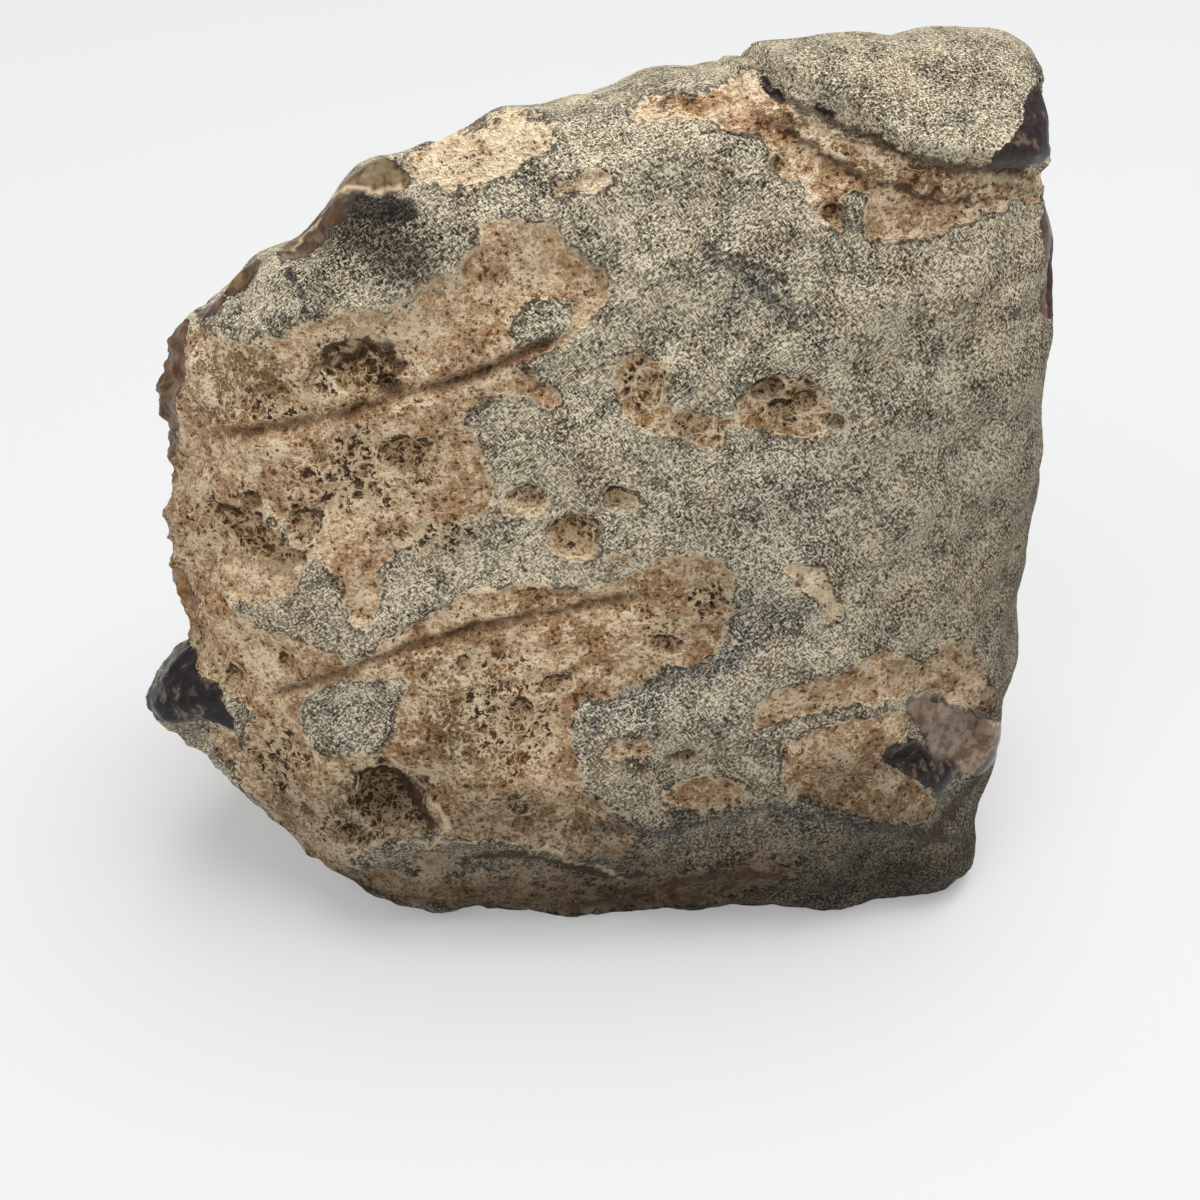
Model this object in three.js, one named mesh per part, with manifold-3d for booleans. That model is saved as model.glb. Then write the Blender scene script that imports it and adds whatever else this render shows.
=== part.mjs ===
// Half of an agate nodule, standing on its lower edge: the rough rind faces forward, the flat cut face is behind.
// Millimetres. The origin is on the ground under the middle of the stone; +X right, +Y away, +Z up.
import * as THREE from 'three';
import { mergeVertices } from 'three/addons/utils/BufferGeometryUtils.js';
import Module from 'manifold-3d';

const wasm = await Module();
wasm.setup();

// Main sizes
const HEART = new THREE.Vector3(-1, 8.2, 37); // the point inside that every reach is measured from
const CUT_FACE_Y = 17.2; // depth of the flat cut face
const GROUND_Z = 0; // height of the flat foot
const CENTRING = [1.1, 0.2, 0]; // final move that brings the middle of the plan over the origin
const BLEND = 16; // larger values give sharper edges between neighbouring sides
const SIGHT_TILT = 30; // the relief is laid out on a view of the front from this many degrees above
const RELIEF_FRONT = 0; // the relief is whole in front of this depth
const RELIEF_BACK = 15; // and gone behind this one
const STEP_FADES = [61, 67]; // the steps die out between these heights of the front view
const MESH_DETAIL = 25; // divisions along each edge of the starting icosahedron
const SHORTEST_EDGE = 0.06; // slivers thinner than this are closed up
const START_SIZE = 37; // half the width of the ball that the mesh starts from
const START_FRONT = 21; // its depth in front of the heart
const START_BEHIND = 60; // its depth behind the heart, most of which is cut off
const STONE_COLOUR = '#8b8573';

// Sides of the rounded form: bearing seen from the front, degrees turned forward, reach from the heart
const SIDES = [
  { name: 'front', bearing: 79, forward: 81, reach: 21.5 },
  { name: 'upper front', bearing: 86, forward: 43, reach: 34.5 },
  { name: 'lower front', bearing: -88, forward: 66, reach: 36.2 },
  { name: 'front left', bearing: 169, forward: 59, reach: 29.5 },
  { name: 'front right', bearing: 10, forward: 60, reach: 31 },
  { name: 'right', bearing: 7, forward: -5, reach: 36.9 },
  { name: 'right shoulder', bearing: 30, forward: -11, reach: 44.5 },
  { name: 'top right', bearing: 70, forward: -17, reach: 43.4 },
  { name: 'top', bearing: 101, forward: -21, reach: 27.2 },
  { name: 'top left', bearing: 127, forward: -18, reach: 26.5 },
  { name: 'left shoulder', bearing: 145, forward: -12, reach: 41 },
  { name: 'left', bearing: 176, forward: -6, reach: 32.5 },
  { name: 'lower left', bearing: -142, forward: 1, reach: 40.5 },
  { name: 'foot left', bearing: -118, forward: 8, reach: 48 },
  { name: 'foot', bearing: -90, forward: 7, reach: 43 },
  { name: 'foot right', bearing: -56, forward: 9, reach: 66 },
  { name: 'lower right', bearing: -10, forward: -2, reach: 40.9 },
  { name: 'behind the cut', bearing: 0, forward: -90, reach: 20 },
];

// Soft swellings and hollows: place on the front view, half sizes, height outward
const SWELLS = [
  { name: 'left knob', u: -34.8, v: 14.6, wide: 3.6, tall: 3.4, height: 4.4 },
  { name: 'below the knob', u: -31.5, v: 7.5, wide: 3.4, tall: 3, height: 0.9 },
  { name: 'notch above the knob', u: -34, v: 20.5, wide: 2.5, tall: 2.2, height: -1 },
  { name: 'top left brow', u: -16.5, v: 54.5, wide: 3, tall: 3, height: 0.9 },
  { name: 'top left notch', u: -21, v: 51, wide: 3.2, tall: 2.6, height: -0.8 },
  { name: 'left island', u: -24, v: 22.5, wide: 6, tall: 3.4, height: 0.8 },
  { name: 'middle swell', u: 12, v: 21, wide: 8, tall: 7, height: 0.6 },
  { name: 'lower swell', u: -7, v: 9, wide: 5, tall: 4, height: 0.6 },
  { name: 'upper swell', u: 21, v: 46, wide: 7, tall: 5, height: 0.5 },
  { name: 'right dip', u: 26, v: 31, wide: 6, tall: 7, height: -0.4 },
  { name: 'tan plate', u: 22, v: 12, wide: 5, tall: 4.5, height: 0.8 },
  { name: 'top right notch', u: 34, v: 57.5, wide: 3, tall: 3, height: -2 },
  { name: 'top middle brow', u: 7, v: 64, wide: 4.5, tall: 4, height: 1.3 },
  { name: 'left shoulder brow', u: -31, v: 44.8, wide: 3, tall: 3, height: 0.2 },
  { name: 'left waist', u: -34, v: 35, wide: 3, tall: 2.5, height: -0.6 },
  { name: 'foot left corner', u: -26, v: -1, wide: 4, tall: 4, height: -0.5 },
  { name: 'foot right corner', u: 32, v: -3, wide: 4, tall: 4, height: 1.4 },
  { name: 'right flank', u: 36, v: 25, wide: 4, tall: 5, height: -0.9 },
  { name: 'right rim', u: 35, v: 45.5, wide: 4, tall: 4, height: 0.5 },
  { name: 'top right corner', u: 30, v: 64, wide: 2.5, tall: 2.5, height: 0.6 },
];

// Long slow waves through the stone: turns per millimetre along each axis, start, height
const WAVES = [
  { along: [0.52, 0.31, 0.24], start: 1, height: 0.2 },
  { along: [-0.33, 0.45, 0.62], start: 2, height: 0.18 },
  { along: [0.21, -0.6, 0.93], start: 0.4, height: 0.12 },
  { along: [1.05, 0.4, -0.55], start: 3.1, height: 0.12 },
];

// Steps along a line: height of the step, its width, and how much of it is a drop below the line
const STEPS = [
  {
    name: 'lobe on the top right',
    height: 1.3,
    width: 1.4,
    dropShare: 0,
    line: [[9, 72], [11, 65], [11.7, 61.8], [13.1, 60.2], [17, 58.4], [21.5, 55.8], [27.2, 55.1], [36, 56]],
  },
  {
    name: 'lip under the lobe',
    height: 0.6,
    width: 1,
    dropShare: 0,
    line: [[7, 72], [11, 58.5], [14.3, 56.6], [19.2, 53.7], [22.7, 52.9], [27.4, 53], [36, 54.6]],
  },
  {
    name: 'overhang above the foot',
    height: 0.7,
    width: 1.2,
    dropShare: 1,
    line: [[-30, -2], [-20, -1], [-12, 1.4], [-4, 0.4], [4, 1], [9, -2.2], [20, -3.6], [36, -3]],
  },
];

// Round and oval pits: place, full opening sizes, turn in degrees, depth
const PITS = [
  { name: 'large cavity', u: -16.9, v: 5.8, wide: 7.4, tall: 6.6, turn: 20, depth: 2.8 },
  { name: 'cavity tail', u: -21.2, v: 2.2, wide: 3.8, tall: 2, turn: 25, depth: 1.3 },
  { name: 'three-sided hollow', u: -16.8, v: 41, wide: 6.4, tall: 4, turn: -25, depth: 1.6 },
  { name: 'hole in the hollow', u: -14.6, v: 39.8, wide: 2, tall: 1.6, turn: 0, depth: 2.2 },
  { name: 'hollow below the groove', u: -13.5, v: 34.9, wide: 4, tall: 3.8, turn: 0, depth: 1 },
  { name: 'left hole', u: -25.9, v: 31.3, wide: 1.6, tall: 1.5, turn: 0, depth: 1.8 },
  { name: 'wedge dent', u: -26, v: 27.6, wide: 9, tall: 3.6, turn: -8, depth: 1.4 },
  { name: 'webbed pit', u: -21.7, v: 29.6, wide: 2.6, tall: 2.6, turn: 0, depth: 1 },
  { name: 'island pit', u: -24.8, v: 17.9, wide: 1.6, tall: 2.2, turn: 0, depth: 1 },
  { name: 'edge dimple', u: -29.7, v: 16.3, wide: 1.5, tall: 2.9, turn: 0, depth: 0.9 },
  { name: 'cluster cell left', u: 12.7, v: 39.7, wide: 2.6, tall: 1.8, turn: 10, depth: 1.1 },
  { name: 'cluster cell middle', u: 14.1, v: 38, wide: 2.3, tall: 1.7, turn: 0, depth: 1.1 },
  { name: 'cluster cell right', u: 15.6, v: 38.7, wide: 1.9, tall: 1.6, turn: 0, depth: 1.4 },
  { name: 'cluster tail', u: 17.7, v: 37.4, wide: 2, tall: 1.2, turn: -20, depth: 0.8 },
  { name: 'middle sponge', u: -1.4, v: 29, wide: 4.2, tall: 3.9, turn: 0, depth: 1.2 },
  { name: 'middle cup', u: 2.2, v: 31.6, wide: 2.8, tall: 2, turn: 0, depth: 0.9 },
  { name: 'round cup', u: 5.7, v: 20.1, wide: 2.7, tall: 2.2, turn: 0, depth: 1 },
  { name: 'oval left', u: -10.2, v: 18.1, wide: 1.5, tall: 2, turn: 0, depth: 0.8 },
  { name: 'oval low', u: -5.6, v: 14.3, wide: 2, tall: 2.7, turn: 0, depth: 0.9 },
  { name: 'oval right', u: -3, v: 16.6, wide: 2.9, tall: 1.8, turn: 10, depth: 0.9 },
  { name: 'low dent', u: -5.8, v: 5.8, wide: 3, tall: 1.8, turn: 0, depth: 0.7 },
  { name: 'low left hole', u: -24.6, v: 3.9, wide: 1.5, tall: 1.5, turn: 0, depth: 1.2 },
  { name: 'slope hole upper', u: -25.7, v: 10.5, wide: 1.3, tall: 1.3, turn: 0, depth: 0.9 },
  { name: 'slope hole lower', u: -28.6, v: 8.9, wide: 1.5, tall: 1.2, turn: 0, depth: 0.9 },
  { name: 'slot', u: 7.4, v: 9.9, wide: 2.7, tall: 1.1, turn: 12, depth: 0.8 },
  { name: 'small ring pit', u: 12.8, v: 54.9, wide: 1.3, tall: 1.1, turn: 0, depth: 0.8 },
  { name: 'ring pit', u: 16.7, v: 51.8, wide: 1.9, tall: 1.4, turn: 0, depth: 0.9 },
  { name: 'slanted chip', u: 17.2, v: 24.4, wide: 5.4, tall: 2.2, turn: -48, depth: 0.7 },
  { name: 'dimples left', u: -5, v: 31.6, wide: 3.7, tall: 2, turn: 0, depth: 0.5 },
  { name: 'dimples right', u: 7.2, v: 37.2, wide: 3, tall: 2.2, turn: 0, depth: 0.6 },
];

// Shell-shaped chips along the rim
const CHIPS = [
  { name: 'upper left chip', u: -14.8, v: 53.2, wide: 7.6, tall: 5, turn: 25, depth: 1.2 },
  { name: 'left shoulder chip', u: -20, v: 49.8, wide: 4.4, tall: 3, turn: 40, depth: 0.9 },
  { name: 'left rim chip high', u: -25.4, v: 47.4, wide: 4, tall: 3, turn: 45, depth: 0.9 },
  { name: 'left rim chip middle', u: -31, v: 41.5, wide: 3, tall: 5.6, turn: -12, depth: 0.9 },
  { name: 'left rim chip low', u: -33.4, v: 24.3, wide: 3.4, tall: 4.4, turn: 0, depth: 0.8 },
  { name: 'right rim chip', u: 33.9, v: 47.4, wide: 2, tall: 7, turn: 3, depth: 0.8 },
  { name: 'top right chip', u: 31.6, v: 58, wide: 6, tall: 7.6, turn: -30, depth: 2 },
];

// Flat broken faces on the lower right: place, sizes, turn, lean to the right and upward in degrees, depth
const BREAKS = [
  { name: 'upper break', u: 26.7, v: 13.7, wide: 2.8, tall: 4.4, turn: -14, leanRight: 16, leanUp: 0, depth: 0.7 },
  { name: 'lower break', u: 26.2, v: 9.4, wide: 6, tall: 3.2, turn: -14, leanRight: 6, leanUp: -20, depth: 1 },
  { name: 'broad break', u: 31.2, v: 10.6, wide: 6.8, tall: 5, turn: 10, leanRight: 10, leanUp: 10, depth: 0.9 },
];

// Straight grooves left by vanished mineral blades: path, opening width, depth
const GROOVES = [
  {
    name: 'upper groove',
    width: 1.6,
    depth: 0.9,
    path: [[-30.7, 35.9], [-24.3, 36.7], [-19, 37.5], [-13.8, 39], [-8, 40.7], [-3.3, 42.8], [-0.1, 44.2]],
  },
  {
    name: 'lower groove',
    width: 1.5,
    depth: 0.8,
    path: [[-26.8, 15.1], [-23.5, 16], [-16.7, 18.8], [-8.7, 21.5], [-2.5, 22.6], [2.1, 23.6], [8.3, 23.9]],
  },
];
const GROOVE_CLEARANCE = 1.2; // how far the groove cutter stands out of the rind
const CUTTER_SIZE = 200; // blocks that remove everything behind the cut face and below the foot
const SIGHT_START = -40; // depth in front of the stone where a sight line starts
const SIGHT_STEP = 0.25;
const HALVINGS = 20;

const radians = THREE.MathUtils.degToRad;
const smoothstep = THREE.MathUtils.smoothstep;

// Outward direction of one side
function sideNormal(side) {
  const level = Math.cos(radians(side.forward));
  const x = level * Math.cos(radians(side.bearing));
  const z = level * Math.sin(radians(side.bearing));
  return new THREE.Vector3(x, -Math.sin(radians(side.forward)), z);
}

const NORMALS = SIDES.map(sideNormal);

// Distance from the heart to the rounded form, and the outward normal there
function formAt(direction) {
  let sum = 0;
  const normal = new THREE.Vector3();
  SIDES.forEach((side, i) => {
    const share = Math.max(0, direction.dot(NORMALS[i])) / side.reach;
    sum += share ** BLEND;
    normal.addScaledVector(NORMALS[i], share ** (BLEND - 1) / side.reach);
  });
  return { radius: sum ** (-1 / BLEND), normal: normal.normalize() };
}

// Place of a point on the front view: u to the right, v up
function frontView(point) {
  const tilt = radians(SIGHT_TILT);
  return { u: point.x, v: point.y * Math.sin(tilt) + point.z * Math.cos(tilt) };
}

// Height of a step's line at one place across
function lineHeight(line, u) {
  const last = line.length - 1;
  if (u <= line[0][0]) return line[0][1];
  if (u >= line[last][0]) return line[last][1];
  const i = line.findIndex((corner) => corner[0] > u);
  const [u0, v0] = line[i - 1];
  const [u1, v1] = line[i];
  return v0 + ((v1 - v0) * (u - u0)) / (u1 - u0);
}

// Relief of the rind outward from the rounded form
function relief(point) {
  const { u, v } = frontView(point);
  let height = 0;
  for (const swell of SWELLS) {
    const across = (u - swell.u) / swell.wide;
    const up = (v - swell.v) / swell.tall;
    height += swell.height * Math.exp(-across * across - up * up);
  }
  for (const step of STEPS) {
    const rise = v - lineHeight(step.line, u);
    const kept = step.height * (1 - smoothstep(v, ...STEP_FADES));
    height += kept * (smoothstep(rise, -step.width / 2, step.width / 2) - step.dropShare);
  }
  height *= 1 - smoothstep(point.y, RELIEF_FRONT, RELIEF_BACK);
  for (const wave of WAVES) {
    const [x, y, z] = wave.along;
    height += wave.height * Math.sin(x * point.x + y * point.y + z * point.z + wave.start);
  }
  return height;
}

// Point on the rind in one direction from the heart
function rindPoint(direction) {
  const { radius, normal } = formAt(direction);
  const point = HEART.clone().addScaledVector(direction, radius);
  return point.addScaledVector(normal, relief(point));
}

// Point and normal of the rind under a place on the front view
function rindUnder(u, v) {
  const tilt = radians(SIGHT_TILT);
  const at = (y) => new THREE.Vector3(u, y, (v - y * Math.sin(tilt)) / Math.cos(tilt));
  const outside = (y) => {
    const arm = at(y).sub(HEART);
    const length = arm.length();
    return length > formAt(arm.divideScalar(length)).radius;
  };
  let near = SIGHT_START;
  while (outside(near + SIGHT_STEP) && near < CUT_FACE_Y) near += SIGHT_STEP;
  let far = near + SIGHT_STEP;
  for (let i = 0; i < HALVINGS; i += 1) {
    const middle = (near + far) / 2;
    if (outside(middle)) near = middle;
    else far = middle;
  }
  const base = at(far);
  const { normal } = formAt(base.clone().sub(HEART).normalize());
  return { point: base.clone().addScaledVector(normal, relief(base)), normal };
}

// Matrix that stands a cutter on the rind: x along the surface, y up it, z outward
function standing(place, extra = new THREE.Matrix4()) {
  const { point, normal } = rindUnder(place.u, place.v);
  const up = new THREE.Vector3(0, 0, 1);
  const right = up.clone().cross(normal).normalize();
  const along = normal.clone().cross(right);
  const frame = new THREE.Matrix4().makeBasis(right, along, normal).setPosition(point);
  const turn = new THREE.Matrix4().makeRotationZ(radians(place.turn));
  return frame.multiply(turn).multiply(extra);
}

// Closed solid from a three.js geometry
function solid(geometry) {
  const bare = geometry.clone();
  bare.deleteAttribute('normal');
  bare.deleteAttribute('uv');
  const merged = mergeVertices(bare);
  const vertProperties = new Float32Array(merged.attributes.position.array);
  const triVerts = new Uint32Array(merged.index.array);
  return new wasm.Manifold(new wasm.Mesh({ numProp: 3, vertProperties, triVerts }));
}

// The whole rounded nodule with its relief, before anything is cut
function nodule() {
  const ball = new THREE.IcosahedronGeometry(1, MESH_DETAIL);
  const position = ball.attributes.position;
  const direction = new THREE.Vector3();
  for (let i = 0; i < position.count; i += 1) {
    direction.fromBufferAttribute(position, i);
    direction.x *= START_SIZE;
    direction.y *= direction.y < 0 ? START_FRONT : START_BEHIND;
    direction.z *= START_SIZE;
    const point = rindPoint(direction.normalize());
    position.setXYZ(i, point.x, point.y, point.z);
  }
  return solid(ball);
}

// A hollow with the given opening and depth
function hollow(place) {
  const small = Math.max(place.wide, place.tall) < 2.4;
  const shape = new THREE.IcosahedronGeometry(1, small ? 0 : 1);
  const size = new THREE.Matrix4().makeScale(place.wide / 2, place.tall / 2, place.depth);
  return solid(shape.applyMatrix4(standing(place, size)));
}

// A block whose inner face leaves a flat broken facet
function breakBlock(place) {
  const block = new THREE.BoxGeometry(place.wide, place.tall, 4 * place.depth);
  block.translate(0, 0, place.depth);
  block.rotateX(-radians(place.leanUp));
  block.rotateY(radians(place.leanRight));
  return solid(block.applyMatrix4(standing(place)));
}

// A wedge swept along a groove's path
function grooveWedge(groove) {
  const corners = [];
  const faces = [];
  const path = groove.path;
  path.forEach(([u, v], i) => {
    const [u0, v0] = path[Math.max(0, i - 1)];
    const [u1, v1] = path[Math.min(path.length - 1, i + 1)];
    const { point, normal } = rindUnder(u, v);
    const forward = rindUnder(u1, v1).point.sub(rindUnder(u0, v0).point).normalize();
    const side = forward.clone().cross(normal).normalize();
    const isEnd = i === 0 || i === path.length - 1;
    const depth = isEnd ? groove.depth / 4 : groove.depth;
    const half = (groove.width / 2) * (1 + GROOVE_CLEARANCE / groove.depth);
    const top = point.clone().addScaledVector(normal, GROOVE_CLEARANCE);
    corners.push(...point.clone().addScaledVector(normal, -depth).toArray());
    corners.push(...top.clone().addScaledVector(side, half).toArray());
    corners.push(...top.clone().addScaledVector(side, -half).toArray());
  });
  for (let i = 0; i < path.length - 1; i += 1) {
    for (let k = 0; k < 3; k += 1) {
      const a = 3 * i + k;
      const b = 3 * i + ((k + 1) % 3);
      faces.push(a, a + 3, b, b, a + 3, b + 3);
    }
  }
  const end = 3 * (path.length - 1);
  faces.push(0, 1, 2, end, end + 2, end + 1);
  const wedge = new THREE.BufferGeometry();
  wedge.setAttribute('position', new THREE.Float32BufferAttribute(corners, 3));
  wedge.setIndex(faces);
  return solid(wedge);
}

// The block kept by the cut face and the foot
function keptBlock() {
  const block = new THREE.BoxGeometry(CUTTER_SIZE, CUTTER_SIZE, CUTTER_SIZE);
  block.translate(0, CUT_FACE_Y - CUTTER_SIZE / 2, GROUND_Z + CUTTER_SIZE / 2);
  return solid(block);
}

// Drawable mesh from a finished solid
function meshOf(name, stone, colour) {
  const result = stone.getMesh();
  const geometry = new THREE.BufferGeometry();
  geometry.setAttribute('position', new THREE.BufferAttribute(new Float32Array(result.vertProperties), 3));
  geometry.setIndex(new THREE.BufferAttribute(new Uint32Array(result.triVerts), 1));
  geometry.translate(...CENTRING);
  const material = new THREE.MeshStandardMaterial({ color: colour, roughness: 0.85, metalness: 0, flatShading: true });
  const mesh = new THREE.Mesh(geometry, material);
  mesh.name = name;
  return mesh;
}

// Assembly
let stone = nodule();
for (const groove of GROOVES) stone = stone.subtract(grooveWedge(groove));
for (const pit of [...PITS, ...CHIPS]) stone = stone.subtract(hollow(pit));
for (const place of BREAKS) stone = stone.subtract(breakBlock(place));
stone = stone.intersect(keptBlock()).asOriginal().simplify(SHORTEST_EDGE);
stone = stone.decompose().reduce((largest, crumb) => (crumb.volume() > largest.volume() ? crumb : largest));

const agate = new THREE.Group();
agate.name = 'agate_nodule_half';
agate.add(meshOf('agate_stone', stone, STONE_COLOUR));

export default agate;
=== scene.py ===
import math

import bmesh
import bpy
import numpy as np
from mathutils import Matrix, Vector, noise


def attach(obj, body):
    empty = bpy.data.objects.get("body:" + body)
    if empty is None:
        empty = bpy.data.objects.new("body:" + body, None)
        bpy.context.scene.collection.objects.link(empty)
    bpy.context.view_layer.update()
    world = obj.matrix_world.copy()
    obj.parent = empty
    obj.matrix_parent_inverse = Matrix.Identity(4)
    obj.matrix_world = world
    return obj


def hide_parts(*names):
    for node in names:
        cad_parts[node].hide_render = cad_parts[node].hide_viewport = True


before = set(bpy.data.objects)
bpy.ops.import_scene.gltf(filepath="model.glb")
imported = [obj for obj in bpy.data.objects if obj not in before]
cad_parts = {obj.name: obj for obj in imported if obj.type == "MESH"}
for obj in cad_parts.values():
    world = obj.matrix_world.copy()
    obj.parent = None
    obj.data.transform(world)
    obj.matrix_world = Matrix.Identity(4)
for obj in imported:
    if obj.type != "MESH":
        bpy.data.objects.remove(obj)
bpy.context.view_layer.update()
mm = 0.001

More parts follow.
